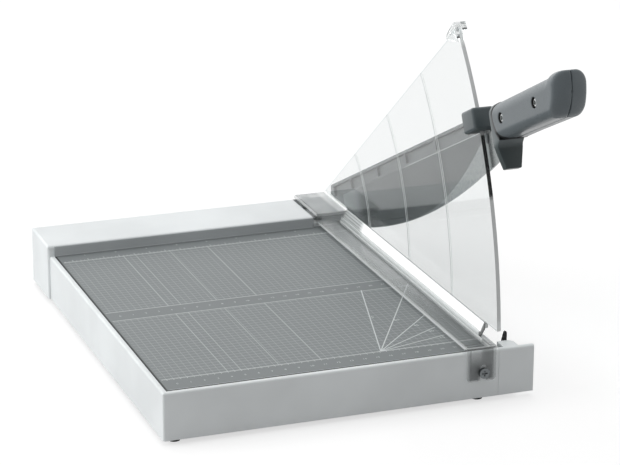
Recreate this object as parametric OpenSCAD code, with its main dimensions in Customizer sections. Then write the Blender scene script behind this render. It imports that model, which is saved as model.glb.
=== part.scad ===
// Lever paper cutter: a board with a steel counter edge, a clear clamp with a fan-shaped
// blade guard, and a long curved blade on a ribbed arm that turns on a bolt at the rear.
// X runs right along the front wall, Y to the rear, Z up. The origin lies on the standing
// plane, midway between the outermost faces in X and Y with the arm in its resting place.

/* [Base] */
// Length of the front wall from left to right
front_w = 281.2; // [276:0.2:296]
// Width of the main body, up to its right wall
body_w = 250.6; // [247:0.2:253]
// Depth from the front wall to the rear housing
body_d = 304; // [294:1:314]
// Height of the walls
base_h = 35.7; // [34:0.1:42]
// Thickness of the outer walls
wall = 3.6; // [3:0.1:4]
// Rounding of the outer edges
edge_r = 1.6; // [1:0.1:2.4]
// Thickness of the deck under the board
deck_t = 3; // [2:0.1:4]
// Depth of the stiffening ribs under the deck
rib_h = 12; // [8:1:16]
// Thickness of the stiffening ribs
rib_t = 1.6; // [1.2:0.1:2.4]
// Ribs that run front to rear
ribs_x = 4; // [2:1:6]
// Ribs that run left to right
ribs_y = 5; // [3:1:7]
// Thickness of the bottom plate
plate_t = 2; // [1.6:0.1:2.6]
// Height of a foot below the walls
foot_h = 3.6; // [3:0.1:6]
// Diameter of a foot at its top
foot_d = 10; // [9:0.5:12]
// Place of the left feet across the body
foot_left = 10.6; // [10:0.2:14]
// Place of the right feet inside the body's right wall
foot_right = 10; // [9:0.2:14]
// Place of the front feet behind the front face
foot_front = 9.4; // [9:0.2:14]

/* [Board and counter edge] */
// Thickness of the cutting board
board_t = 2.5; // [2:0.1:3.2]
// Thickness of the steel counter edge
ledger_t = 4; // [3:0.1:4.6]
// How far the steel counter edge ends above the foot of the walls
ledger_up = 9.7; // [8:0.1:11]
// Screws that hold the counter edge
ledger_screws_n = 6; // [4:1:8]

/* [Rear housing] */
// Depth of the rear housing
housing_d = 51; // [49:0.5:60]
// How far the housing stands above the board
housing_up = 8.5; // [8.3:0.1:9]
// How far the housing steps out beyond the left wall
housing_step = 1.7; // [0.5:0.1:4]
// Wall thickness of the housing
housing_wall = 3; // [2.4:0.1:3.4]
// Thickness of the cheek outside the arm
cheek_t = 3.7; // [3:0.1:6]
// Width of the sunk bay under the clamp's rear foot
bay_w = 28.7; // [26:0.1:34]
// Level of the bay's floor above the board
bay_floor = 3; // [2.6:0.1:3.4]
// Height of the paper stop above the board
stop_h = 6.8; // [5:0.1:7.4]
// Thickness of the paper stop
stop_t = 1.6; // [1:0.1:2.4]

/* [End block] */
// Width of the block's round-backed boss
boss_w = 11.7; // [10:0.1:13]
// Reach of the boss behind the front face
boss_d = 15; // [13:0.5:18]
// Width of the slot that the blade dips into
dip_w = 3.7; // [3.4:0.1:5]
// Depth of that slot
dip_h = 8; // [6:0.5:10]
// Height of the stop peg above the board
peg_up = 6; // [4:0.1:8]
// Diameter of the stop peg at its top
peg_d = 3.8; // [3:0.1:4.4]

/* [Clamp and guard] */
// Width of the clamp's clear flange
flange_w = 25; // [20:0.5:26]
// Thickness of the clamp's rear foot
foot_plate_t = 2.6; // [1.8:0.1:3]
// Thickness of the clear plastic
clear_t = 1.8; // [1.4:0.1:2.2]
// Gap between the raised clamp and the board
clamp_lift = 2.8; // [2.7:0.1:4]
// Height of the clamp's sloping web above the board
web_top = 14.2; // [13:0.1:17]
// How far the front leg hangs below the board
leg_h = 22; // [20:0.5:26]
// Thickness of the guard fan
fan_t = 3; // [2:0.1:3.2]
// Reach of the fan ahead of the front face
fan_over = 1; // [0.5:0.1:3]
// Level of the fan's lower edge above the board
fan_low = 14; // [13.5:0.1:16]
// Slope of the fan's upper edge in degrees
fan_slope = 37.3; // [34:0.1:38]
// Height of the fan's upper edge over the arm's pivot
fan_rise = 33; // [31:0.5:36]
// Distance between the arcs engraved in the fan
arc_pitch = 83; // [60:1:100]
// Width of an engraved arc
arc_w = 0.7; // [0.4:0.1:1]
// Diameter of the clamp's guide pins
pin_d = 4; // [3:0.2:5]
// Length of the guide pins below the clamp's foot
pin_l = 20; // [18:1:24]
// Wire of the clamp's return springs
spring_wire = 0.6; // [0.4:0.1:0.8]
// Turns of a return spring
spring_turns = 5; // [3:1:6]

/* [Arm] */
// Angle of the raised arm above the board in degrees
arm_angle = 25.5; // [15:0.5:30]
// Distance of the pivot ahead of the housing's rear face
pivot_in = 20; // [18:0.5:24]
// Depth of the pivot below the board
pivot_drop = 6; // [5.5:0.5:10]
// Angle of the lowered arm above the board in degrees
arm_low = 3.5; // [3.2:0.1:5]
// Thickness of the arm
arm_t = 8; // [7:0.1:9]
// Height of the arm's top edge over the pivot's axis
arm_top = 28; // [26:0.5:30]
// Height of the ribbed band along the top
band_h = 12; // [10:0.5:13]
// Pitch of the ribs in the band
band_pitch = 64; // [40:1:90]
// Place of the first rib ahead of the pivot
band_first = 50.5; // [40:0.5:60]
// Thickness of a rib in the band
band_rib = 2.4; // [1.6:0.1:4]
// Depth of the band's pockets
band_deep = 2.2; // [1:0.1:2.4]
// Radius of the boss round the pivot
boss_r = 13; // [11.5:0.5:13.5]
// Diameter of the pivot bolt
bolt_d = 10; // [8:0.5:10]
// Outer diameter of the pivot bush
bush_d = 14; // [13:0.5:16]

/* [Blade] */
// Thickness of the blade
blade_t = 2.5; // [2:0.1:2.6]
// Radius of the curved cutting edge
blade_r = 800; // [700:10:1000]
// Lowest point of the cutting edge ahead of the pivot
blade_low_u = 188; // [180:1:196]
// Depth of that point below the pivot's axis
blade_low_v = 26; // [25:0.5:27]
// Rear end of the blade ahead of the pivot
blade_rear = 30; // [26:1:34]
// Height of the ground bevel
bevel_h = 4; // [2:0.5:6]
// Screws that hold the blade
blade_screws_n = 5; // [3:1:7]

/* [Guide block and handle] */
// Width of the guide block
block_w = 14.6; // [14:0.1:18]
// Length of the guide block along the arm
block_l = 18; // [16:0.5:24]
// Height of the guide block
block_h = 16.4; // [14:0.2:18]
// Length of the low arm between the guide block and the collar
neck_l = 33.3; // [28:0.1:38]
// Height of the low arm's top over the pivot's axis
neck_top = 14; // [12:0.5:15]
// Thickness of the collar along the arm
collar_t = 6.7; // [6:0.1:8]
// How far the finger guard hangs below the pivot's axis
finger_low = 17; // [12:0.5:22]
// Width of the collar
collar_w = 20.5; // [20:0.5:24]
// Width of the finger guard's lower end
finger_w = 10.6; // [8:0.2:14]
// Radius of the seam between the collar and the handle
socket_r = 60; // [40:1:70]
// Length of the handle ahead of the seam
handle_l = 107.5; // [95:0.5:130]
// Width of the handle
handle_w = 26; // [24:0.5:32]
// Height of the handle
handle_h = 27.6; // [26:0.2:34]
// How far the handle stands above the arm's top
handle_up = 1; // [0:0.1:2]
// Rounding of the handle's section
handle_r = 10; // [6:0.5:12]
// Radius of the round end of the handle, seen from the side
end_r = 32.5; // [28:0.5:40]
// Radius of the round end of the handle, seen from above
end_plan_r = 21; // [18:0.5:30]
// Radius of the raised top of the handle's end
hump_r = 50; // [40:1:60]
// How far the handle's end stands out above its top
hump_up = 1.7; // [1:0.1:3]
// Diameter of a recess over a handle screw
recess_d = 7.4; // [6:0.1:9]

/* [Fit] */
// Running clearance between the blade and the counter edge
blade_gap = 0.3; // [0.2:0.05:0.4]
// Clearance between the fan and the blade
fan_gap = 0.9; // [0.7:0.1:1.2]
// Radial clearance of pins and bolts that turn or slide
run_gap = 0.05; // [0.02:0.01:0.08]
// Radial clearance of screws and pressed parts
seat_gap = 0.03; // [0.01:0.01:0.06]
// Joint gap between panels
panel_gap = 0.1; // [0.05:0.05:0.3]
// Side clearance of the arm in the housing
arm_gap = 0.5; // [0.4:0.1:0.8]

/* [Hidden] */
$fn = 48;
fine = 720;
over = 1;

// Places across the cutter, from the counter edge outwards
ledger_x1 = body_w + ledger_t;
blade_x0 = ledger_x1 + blade_gap;
arm_x0 = blade_x0 + panel_gap;
arm_x1 = arm_x0 + arm_t;
fan_x1 = blade_x0 - fan_gap;
fan_x0 = fan_x1 - fan_t;
slot_x0 = arm_x0 - arm_gap;
cheek_x0 = arm_x1 + 2 * arm_gap + 0.3;
housing_x1 = cheek_x0 + cheek_t;
seam_x = ledger_x1 - 1.2;

// Places front to rear and up
rear_y = body_d + housing_d;
pivot_y = rear_y - pivot_in;
pivot_z = -pivot_drop;
fan_r = pivot_y + fan_over;
slot_low = pivot_z - boss_r - 5;
plate_z = -base_h + plate_t;
ledger_h = base_h - ledger_up;
foot_rear = rear_y - foot_front;
cavity_x1 = body_w - wall - panel_gap;

// Stop peg behind the end block's boss
peg_flare = 0.6;
peg_x = ledger_x1 + dip_w + boss_w / 2 + 0.8;
peg_y = boss_d + peg_d / 2 + peg_flare + 0.2;

// Clamp levels
flange_x0 = fan_x0 - flange_w;
flange_z1 = clamp_lift + clear_t;
leg_gap = 0.6;
leg_y0 = -leg_gap - clear_t;
clamp_foot_z = housing_up + 0.3;
clamp_foot_top = clamp_foot_z + foot_plate_t;
clamp_x1 = fan_x0 - panel_gap;
riser_y1 = body_d - stop_t + 0.2;
bay_x1 = fan_x0 + 0.3;
bay_x0 = bay_x1 - bay_w;
bay_y1 = rear_y - 1.5;
clamp_foot_y1 = bay_y1 - 0.4;
leg_x0 = flange_x0 + 1.8;
line_y1 = 93;
clip_t = 2.4;
clip_up = 4;
web_y0 = 20;
fan_foot_y = 22;
clamp_screw_x = fan_x0 - 10.6;
clamp_screw_z = -15.3;
clamp_slot_w = 5.4;
clamp_travel = 2.5;
shoulder_d = clamp_slot_w - 0.2;
pin_x = bay_x0 + 8;
pin_ys = [body_d + 10, bay_y1 - 9];
pin_boss_r = pin_d / 2 + 3.5;
pin_end_z = clamp_foot_z - pin_l;
pin_ring_h = 1.2;
pin_boss_z = pin_end_z + pin_ring_h + run_gap;
spring_r = pin_d / 2 + 0.9 + spring_wire / 2;
spring_pocket_r = spring_r + spring_wire / 2 + 0.3;
spring_z0 = bay_floor - 6;

// Arm places: u runs along the arm from the pivot, v square to it
block_u1 = fan_r + 3.5;
block_u0 = block_u1 - block_l;
block_v0 = arm_top - band_h;
block_x1 = blade_x0 + 2.7;
block_x0 = block_x1 - block_w;
block_screw_v = block_v0 + 8;
grip_x = arm_x0;
grip_top = arm_top + handle_up;
grip_low = grip_top - handle_h;
collar_u0 = block_u1 + neck_l;
collar_x0 = grip_x - collar_w / 2 - 1.25;
collar_x1 = collar_x0 + collar_w;
finger_x = grip_x - 1.7;
blade_front = collar_u0 - 0.4;
neck_low = -2;
neck_u1 = collar_u0 + 5;
seam_u = collar_u0 + 8.2;
socket_u = seam_u + socket_r;
socket_v = grip_top - 5;
grip_u1 = seam_u + handle_l;
end_u = grip_u1 - end_r;
end_v = grip_top - 0.3;
knob_u0 = grip_u1 - 26;
knob_w = handle_w + 0.6;
hump_u = grip_u1 - 9.5;
tang_x1 = arm_x0 + 5;
screw_v = grip_low + 14.6;
tang_v0 = screw_v - 7;
tang_v1 = screw_v + 7;
tang_u1 = knob_u0 + 2;
screw_us = [seam_u + 14, seam_u + 72];
screw_seat_x = grip_x - 6;
front_screw_u = fan_r + 2;
front_screw_v = 10;
front_screw_r = 3.7;
rear_rake = 25.5;
blade_vc = blade_r - blade_low_v;
band_ribs = floor((block_u0 - 10 - band_first) / band_pitch) + 1;

// Middle of the whole cutter, with the arm where it rests
tip_y = pivot_y - (end_u * cos(arm_angle) - end_v * sin(arm_angle) + end_r);
origin_x = (front_w - housing_step) / 2;
origin_y = (rear_y + tip_y) / 2;
origin_z = -base_h - foot_h;

// Screw patterns
plate_screw_xs = [16, body_w / 2, body_w - 18];
plate_screw_ys = [24, body_d / 2 + 8, body_d - 16];
post_inset = 60;
housing_post_xs = [post_inset, body_w - post_inset];
screw_bite = 9;
housing_post_y = body_d + housing_d / 2;
housing_screw_xs = [22, body_w / 2, body_w - 40];
housing_screw_z = -base_h / 2 - 2;
block_screw_y = 9.4;
block_screw_z = -base_h + ledger_up / 2 + 0.4;
screw_d = 3.5;
screw_head_d = 6.4;
screw_head_h = 1.3;

// Puts the cutter's own measuring corner, the board's front left, onto the shared origin
module placed() translate([-origin_x, -origin_y, -origin_z]) children();

// Extrudes a (Y, Z) outline from x0 to x1
module along_x(x0, x1) translate([x0, 0, 0]) rotate([90, 0, 90]) linear_extrude(x1 - x0) children();

// Extrudes an (X, Z) outline from y0 to y1
module along_y(y0, y1) translate([0, y1, 0]) rotate([90, 0, 0]) linear_extrude(y1 - y0) children();

// Extrudes a plan outline from z0 to z1
module along_z(z0, z1) translate([0, 0, z0]) linear_extrude(z1 - z0) children();

// Extrudes an outline drawn ahead of and above the pivot, from x0 to x1
module fan_plate(x0, x1) along_x(x0, x1) mirror([1, 0]) children();

// Moves to the pivot, level with the board
module at_pivot() placed() translate([0, pivot_y, pivot_z]) children();

// Moves to the pivot and turns with the arm
module on_arm() at_pivot() rotate([-arm_angle, 0, 0]) children();

// Extrudes an (X, v) section along the arm from u0 to u1
module along_u(u0, u1) translate([0, -u0, 0]) rotate([90, 0, 0]) linear_extrude(u1 - u0) children();

// Round bar along X, Y or Z
module bar_x(x0, x1, r) translate([x0, 0, 0]) rotate([0, 90, 0]) cylinder(r = r, h = x1 - x0);
module bar_y(y0, y1, r) translate([0, y1, 0]) rotate([90, 0, 0]) cylinder(r = r, h = y1 - y0);
module bar_z(z0, z1, r) translate([0, 0, z0]) cylinder(r = r, h = z1 - z0);

// Rectangle between two corners
module rect(a, b) translate(a) square(b - a);

// Rectangle between two corners with every corner rounded
module soft_rect(a, b, r) {
    rect(a + [r, 0], b - [r, 0]);
    rect(a + [0, r], b - [0, r]);
    for (x = [a.x + r, b.x - r], y = [a.y + r, b.y - r]) translate([x, y]) circle(r);
}

// Rectangle between two corners with the upper corners rounded
module soft_top(a, b, r) {
    rect(a, [b.x, b.y - r]);
    rect([a.x + r, a.y], [b.x - r, b.y]);
    for (x = [a.x + r, b.x - r]) translate([x, b.y - r]) circle(r);
}

// Box between two corners
module block(a, b) translate(a) cube(b - a);

// Six-sided outline with level flats, by its width across flats
module hex(flats) rotate(0) circle(r = flats / sqrt(3), $fn = 6);

// Places the screws of the bottom plate
module at_plate_screws() {
    for (x = plate_screw_xs, y = plate_screw_ys) translate([x, y, 0]) children();
    for (x = housing_post_xs) translate([x, housing_post_y, 0]) children();
}

// Places the feet
module at_feet()
    for (x = [foot_left, body_w - foot_right], y = [foot_front, foot_rear]) translate([x, y, 0]) children();

// Places the screws of the counter edge
module at_ledger_screws() {
    step = (body_d - 40) / ledger_screws_n;
    for (i = [0 : ledger_screws_n - 1]) translate([0, 20 + step * (i + 0.5), -ledger_h / 2 - 1]) children();
}

// Outer form of the tray: walls up to the board's level, its free top edges rounded
module tray_form() intersection() {
    along_z(-base_h, 0) {
        rect([edge_r, 0], [body_w, body_d - panel_gap]);
        rect([0, edge_r], [body_w, body_d - panel_gap]);
        translate([edge_r, edge_r]) circle(edge_r);
        rect([body_w - over, 0], [seam_x, wall]);
    }
    along_y(-over, body_d) soft_top([0, -base_h], [seam_x + 2 * edge_r, 0], edge_r);
    along_x(-over, seam_x) soft_top([0, -base_h], [body_d + 2 * edge_r, 0], edge_r);
}

// Ribs and screw posts under the deck
module tray_ribs() {
    z1 = -board_t - deck_t + 0.2;
    pitch_x = body_w / (ribs_x + 1);
    pitch_y = body_d / (ribs_y + 1);
    for (i = [1 : ribs_x])
        block([pitch_x * i + 6, wall, z1 - rib_h], [pitch_x * i + 6 + rib_t, body_d - wall, z1]);
    for (i = [1 : ribs_y]) block([wall, pitch_y * i, z1 - rib_h], [cavity_x1, pitch_y * i + rib_t, z1]);
    for (x = plate_screw_xs, y = plate_screw_ys) translate([x, y, 0]) bar_z(plate_z, z1, 4.5);
}

module base_tray() color([0.93, 0.94, 0.94]) placed() difference() {
    union() {
        difference() {
            tray_form();
            block([wall, wall, -base_h - over], [cavity_x1, body_d - wall, -board_t - deck_t]);
        }
        tray_ribs();
    }
    block([wall, wall, -board_t], [seam_x + over, body_d + over, over]);
    block([wall, body_d / 2, -base_h - over], [cavity_x1, body_d + over, plate_z + panel_gap]);
    at_plate_screws() bar_z(-base_h, plate_z + 12, screw_d / 2 + seat_gap);
    at_ledger_screws() bar_x(body_w - wall - over, body_w + over, screw_d / 2 + seat_gap);
    for (x = housing_screw_xs) translate([x, 0, housing_screw_z])
        bar_y(body_d - wall - over, body_d + over, screw_d / 2 + seat_gap);
    translate([0, block_screw_y, block_screw_z])
        bar_x(body_w - wall - over, body_w + over, screw_d / 2 + seat_gap);
    translate([clamp_screw_x, 0, clamp_screw_z]) bar_y(-over, wall + over, screw_d / 2 + seat_gap);
}

// Right end of the front wall, with the boss, the blade's dip slot and the shelf of the peg
module end_block() color([0.93, 0.94, 0.94]) placed() difference() {
    boss_x0 = ledger_x1 + dip_w;
    boss_x1 = boss_x0 + boss_w;
    union() {
        intersection() {
            block([seam_x + panel_gap, 0, -base_h], [front_w, wall, 0]);
            along_x(seam_x, front_w) soft_top([0, -base_h], [wall + 2 * edge_r, 0], edge_r);
        }
        block([body_w + panel_gap, wall + panel_gap, -base_h], [seam_x + 2, boss_d, -dip_h]);
        block([seam_x + panel_gap, wall - over, -base_h], [boss_x0 + over, boss_d, -dip_h]);
        along_z(-base_h, 0) {
            rect([boss_x0, wall - over], [boss_x1, boss_d - 5]);
            rect([boss_x0, wall - over], [boss_x1 - 5, boss_d]);
            translate([boss_x1 - 5, boss_d - 5]) circle(5);
        }
        block([boss_x0, boss_d - over, -base_h], [boss_x1, boss_d + 6, -dip_h]);
    }
    block([body_w, wall, -ledger_h - panel_gap], [ledger_x1 + panel_gap, boss_d + over, over]);
    translate([0, block_screw_y, block_screw_z]) bar_x(body_w - over, boss_x1 - 3, screw_d / 2 + seat_gap);
    translate([peg_x, peg_y, 0]) bar_z(-dip_h - 6, -dip_h + over, peg_d / 2 + seat_gap);
}

// Buffer that the arm's lug comes down on
module stop_peg() color([0.2, 0.22, 0.22]) placed() translate([peg_x, peg_y, 0]) {
    bar_z(-dip_h - 6, -dip_h, peg_d / 2);
    translate([0, 0, -dip_h])
        cylinder(r1 = peg_d / 2 + peg_flare, r2 = peg_d / 2, h = dip_h + peg_up - peg_d / 2);
    translate([0, 0, peg_up - peg_d / 2]) sphere(peg_d / 2);
}

module end_block_screw() color("silver") placed() translate([0, block_screw_y, block_screw_z]) {
    bar_x(body_w - wall - panel_gap - screw_head_h, body_w - wall - panel_gap, screw_head_d / 2);
    bar_x(body_w - wall - panel_gap, ledger_x1 + 6, screw_d / 2);
}

module cutting_board() color([0.55, 0.57, 0.57]) placed()
    along_z(-board_t, 0) rect([wall + 0.4, wall + 0.4], [body_w - panel_gap, body_d - panel_gap]);

// Hardened strip that the blade shears against
module counter_edge() color("silver") placed() difference() {
    block([body_w, wall + panel_gap, -ledger_h], [ledger_x1, body_d - panel_gap, 0]);
    at_ledger_screws() {
        bar_x(body_w - over, ledger_x1 + over, screw_d / 2 + seat_gap);
        translate([ledger_x1 - screw_d / 2, 0, 0]) rotate([0, 90, 0])
            cylinder(r1 = screw_d / 2 + seat_gap, r2 = screw_d + seat_gap, h = screw_d / 2 + 0.01);
    }
}

module counter_edge_screws() color("gray") placed() at_ledger_screws() {
    bar_x(body_w - wall - 2, ledger_x1 - screw_d / 2, screw_d / 2);
    translate([ledger_x1 - screw_d / 2, 0, 0]) rotate([0, 90, 0])
        cylinder(r1 = screw_d / 2, r2 = screw_d - 0.1, h = screw_d / 2 - 0.1);
}

// Outer form of the housing, all its upper edges rounded
module housing_form() intersection() {
    r = edge_r + 0.4;
    along_z(-base_h, housing_up) soft_rect([-housing_step, body_d], [housing_x1, rear_y], r);
    along_y(body_d - over, rear_y + over) soft_top([-housing_step, -base_h], [housing_x1, housing_up], r);
    along_x(-housing_step - over, housing_x1 + over) soft_top([body_d, -base_h], [rear_y, housing_up], r);
}

// Hollow left part of the housing, lower under the bay
module housing_hollow() {
    y0 = body_d + housing_wall;
    y1 = rear_y - housing_wall;
    x0 = housing_wall - housing_step;
    block([x0, y0, -base_h - over], [bay_x0 - 2.5, y1, housing_up - housing_wall]);
    block([x0, y0, -base_h - over], [cavity_x1, y1, bay_floor - 2]);
}

// Posts for the bottom screws and the front screws, and bosses of the guide pins
module housing_posts() {
    for (x = housing_post_xs) translate([x, housing_post_y, 0]) bar_z(plate_z, housing_up - over, 4.5);
    for (x = housing_screw_xs) translate([x, 0, housing_screw_z]) bar_y(body_d + over, body_d + 12, 4.5);
    for (y = pin_ys) translate([pin_x, y, 0]) bar_z(pin_boss_z, bay_floor - over, pin_boss_r);
}

module rear_housing() color([0.95, 0.95, 0.95]) placed() difference() {
    union() {
        difference() {
            housing_form();
            housing_hollow();
        }
        housing_posts();
    }
    block([bay_x0, body_d - over, bay_floor], [bay_x1, bay_y1, housing_up + over]);
    block([slot_x0, body_d - over, slot_low], [cheek_x0, rear_y - 4, housing_up + over]);
    block([slot_x0 - 3 - panel_gap, pivot_y - 15, pivot_z - 14], [slot_x0 + over, pivot_y + 15, pivot_z + 8.5]);
    translate([0, pivot_y, pivot_z]) bar_x(cavity_x1 - over, housing_x1 + over, bolt_d / 2 + seat_gap);
    block([wall, body_d - over, -base_h - over], [cavity_x1, rear_y - housing_wall, plate_z + panel_gap]);
    for (x = housing_post_xs) translate([x, housing_post_y, 0])
        bar_z(-base_h, plate_z + 12, screw_d / 2 + seat_gap);
    for (x = housing_screw_xs) translate([x, 0, housing_screw_z])
        bar_y(body_d - over, body_d + screw_bite, screw_d / 2 + seat_gap);
    for (y = pin_ys) translate([pin_x, y, 0]) {
        bar_z(spring_z0, bay_floor + over, spring_pocket_r);
        bar_z(pin_boss_z - over, bay_floor, pin_d / 2 + run_gap);
    }
}

// Strip on the housing's front face that the paper is pushed against
module paper_stop() color([0.47, 0.49, 0.5]) placed() intersection() {
    block([wall, body_d - stop_t, 0], [bay_x0 - panel_gap, body_d, stop_h]);
    along_x(0, bay_x0) soft_top([body_d - stop_t, -over], [body_d + 2, stop_h], 0.6);
}

module housing_screws() color("silver") placed() for (x = housing_screw_xs) translate([x, 0, housing_screw_z]) {
    bar_y(body_d - wall - screw_head_h, body_d - wall, screw_head_d / 2);
    bar_y(body_d - wall, body_d + screw_bite - 1, screw_d / 2);
}

module bottom_plate() color([0.35, 0.36, 0.37]) placed() difference() {
    block([wall + panel_gap, wall + panel_gap, -base_h],
        [cavity_x1 - panel_gap, rear_y - housing_wall - panel_gap, plate_z]);
    at_plate_screws() {
        bar_z(-base_h - over, plate_z + over, screw_d / 2 + seat_gap);
        bar_z(-base_h - over, -base_h + screw_head_h, screw_head_d / 2 + seat_gap);
    }
    at_feet() bar_z(-base_h - over, plate_z + over, foot_d / 5 + seat_gap);
}

module bottom_screws() color("silver") placed() at_plate_screws() {
    bar_z(-base_h, -base_h + screw_head_h, screw_head_d / 2);
    bar_z(-base_h + screw_head_h, plate_z + screw_bite, screw_d / 2);
}

module feet() color([0.15, 0.15, 0.16]) placed() at_feet() {
    translate([0, 0, -base_h - foot_h]) cylinder(r1 = foot_d / 2 - 0.8, r2 = foot_d / 2, h = foot_h);
    bar_z(-base_h, plate_z, foot_d / 5);
}

// Steel plate let into the housing that takes the pivot's load
module pivot_plate() color("silver") placed() difference() {
    block([slot_x0 - 3, pivot_y - 15 + panel_gap, pivot_z - 14 + panel_gap],
        [slot_x0, pivot_y + 15 - panel_gap, pivot_z + 8.5 - panel_gap]);
    translate([0, pivot_y, pivot_z]) bar_x(slot_x0 - 4, slot_x0 + over, bolt_d / 2 + seat_gap);
}

module pivot_bolt() color("gainsboro") at_pivot() difference() {
    union() {
        bar_x(cavity_x1, housing_x1, bolt_d / 2);
        bar_x(cavity_x1 - 9, cavity_x1, bolt_d / 2 - 1);
        bar_x(housing_x1, housing_x1 + 2.4, bolt_d * 0.85);
    }
    translate([housing_x1 + 0.9, 0, 0]) rotate([0, 90, 0]) linear_extrude(over + 2) hex(5);
}

module thrust_washer() color("goldenrod") at_pivot() difference() {
    bar_x(slot_x0 + 0.05, arm_x0 - 0.05, bush_d / 2 + 2);
    bar_x(slot_x0, arm_x0, bolt_d / 2 + run_gap);
}

// Slightly coned spring washer that gives the arm its friction
module disc_spring() color("silver") at_pivot() rotate([0, 90, 0]) rotate_extrude()
    polygon([[bolt_d / 2 + 0.1, arm_x1 + 0.05], [bolt_d / 2 + 0.1, arm_x1 + 0.75],
        [bush_d / 2 + 3, cheek_x0 - 0.05], [bush_d / 2 + 3, cheek_x0 - 0.75]]);

module lock_nut() color("silver") at_pivot() difference() {
    translate([cavity_x1 - 6.5, 0, 0]) rotate([0, 90, 0]) rotate(30) linear_extrude(6.5) hex(13);
    bar_x(cavity_x1 - 8, cavity_x1 + over, bolt_d / 2 - 1 + seat_gap);
}

// Shouldered screw that the clamp's forked front leg slides on
module clamp_screw() color("silver") placed() translate([clamp_screw_x, 0, clamp_screw_z]) {
    bar_y(leg_y0 - 0.2, 0, shoulder_d / 2);
    bar_y(-0.01, wall + 4, screw_d / 2);
    difference() {
        bar_y(leg_y0 - 2.4, leg_y0 - 0.2, 3.95);
        for (a = [0, 90]) rotate([0, a, 0]) block([-2.2, leg_y0 - 2.4 - over, -0.45], [2.2, leg_y0 - 1.4, 0.45]);
    }
}

// Points of a ring round a helix, and of the whole wire
function helix(t) = let (a = 360 * spring_turns * t, rise = clamp_foot_z - spring_z0 - spring_wire - 0.1)
    [spring_r * cos(a), spring_r * sin(a), spring_z0 + spring_wire / 2 + 0.05 + rise * t];
function ring(t, sides) = let (a = 360 * spring_turns * t, c = helix(t))
    [for (k = [0 : sides - 1]) let (b = 360 * k / sides)
        c + spring_wire / 2 * [cos(b) * cos(a), cos(b) * sin(a), sin(b)]];

module spring() {
    sides = 6;
    rings = spring_turns * 10;
    points = [for (i = [0 : rings]) each ring(i / rings, sides)];
    skin = [for (i = [0 : rings - 1], k = [0 : sides - 1]) let (a = i * sides + k, b = i * sides + (k + 1) % sides)
        each [[a, a + sides, b + sides], [a, b + sides, b]]];
    first = [for (k = [1 : sides - 2]) [0, k, k + 1]];
    end = rings * sides;
    last = [for (k = [1 : sides - 2]) [end, end + k + 1, end + k]];
    polyhedron(points, concat(skin, first, last));
}

module return_springs() color("silver") placed() for (y = pin_ys) translate([pin_x, y, 0]) spring();

// Outline of the clamp: flange, two raised lines and the web that slopes up to the fan
module clamp_outline() {
    web_foot = clamp_x1 - 3.3;
    rect([flange_x0, clamp_lift], [web_foot, flange_z1]);
    polygon([[web_foot - 1.4, clamp_lift], [web_foot, clamp_lift], [clamp_x1, fan_low - 5.4],
        [clamp_x1, web_top], [web_foot - 0.1, flange_z1 + 2.2], [web_foot - 1.4, flange_z1 + 2.2]]);
}

module clamp_leg() difference() {
    union() {
        along_y(leg_y0, -leg_gap) rect([leg_x0, -leg_h], [clamp_x1 - 0.6, flange_z1]);
        along_y(leg_y0, wall + 2) rect([flange_x0, clamp_lift], [clamp_x1 - 0.6, flange_z1]);
    }
    along_y(leg_y0 - over, 0) {
        translate([clamp_screw_x, clamp_screw_z + clamp_travel + 0.4]) circle(clamp_slot_w / 2);
        rect([clamp_screw_x - clamp_slot_w / 2, -leg_h - over],
            [clamp_screw_x + clamp_slot_w / 2, clamp_screw_z + clamp_travel + 0.4]);
    }
}

module clamp_foot() difference() {
    union() {
        block([flange_x0, riser_y1 - clear_t, clamp_lift], [clamp_x1, riser_y1, clamp_foot_top]);
        along_z(clamp_foot_z, clamp_foot_top)
            soft_rect([flange_x0, riser_y1 - clear_t], [clamp_x1, clamp_foot_y1], 0.8);
        along_y(riser_y1, clamp_foot_y1)
            polygon([[clamp_x1 - 4.4, clamp_foot_top - 0.1], [clamp_x1, clamp_foot_top - 0.1],
                [clamp_x1, fan_low + 3], [clamp_x1 - 1.6, fan_low + 3]]);
    }
    for (y = pin_ys) translate([pin_x, y, 0])
        bar_z(clamp_foot_z - over, clamp_foot_top + over, pin_d / 2 + seat_gap);
}

// Clear paper clamp: forked leg in front, flange over the board, foot over the rear bay
module clamp_rail() color([0.85, 0.9, 0.92, 0.5]) placed() {
    along_y(wall + 1, web_y0) rect([flange_x0, clamp_lift], [clamp_x1 - 0.6, flange_z1]);
    along_y(web_y0, riser_y1) clamp_outline();
    along_y(wall + 6, line_y1) rect([clamp_x1 - 7.4, flange_z1 - 0.1], [clamp_x1 - 6.4, flange_z1 + 1.2]);
    clamp_leg();
    clamp_foot();
}

// Outline of the fan, ahead of and above the pivot
module fan_outline() {
    low = fan_low - pivot_z;
    back = (fan_rise - low) / tan(fan_slope);
    intersection() {
        circle(fan_r, $fn = fine);
        polygon([[-back, low], [fan_r + over, low], [fan_r + over, fan_rise + (fan_r + over) * tan(fan_slope)],
            [0, fan_rise]]);
    }
    rect([pivot_y - riser_y1 - 1, low - 5.4], [pivot_y - fan_foot_y, low + over]);
}

module guard_fan() color([0.85, 0.9, 0.92, 0.4]) at_pivot() difference() {
    fan_plate(fan_x0, fan_x1) fan_outline();
    for (i = [1 : 3]) bar_ring(fan_x0 - over, fan_x0 + 0.4, fan_r - arc_pitch * i);
}

// Ring-shaped cut of an engraved arc
module bar_ring(x0, x1, r) difference() {
    bar_x(x0, x1, r + arc_w / 2, $fn = fine);
    bar_x(x0 - over, x1 + over, r - arc_w / 2, $fn = fine);
}

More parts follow.
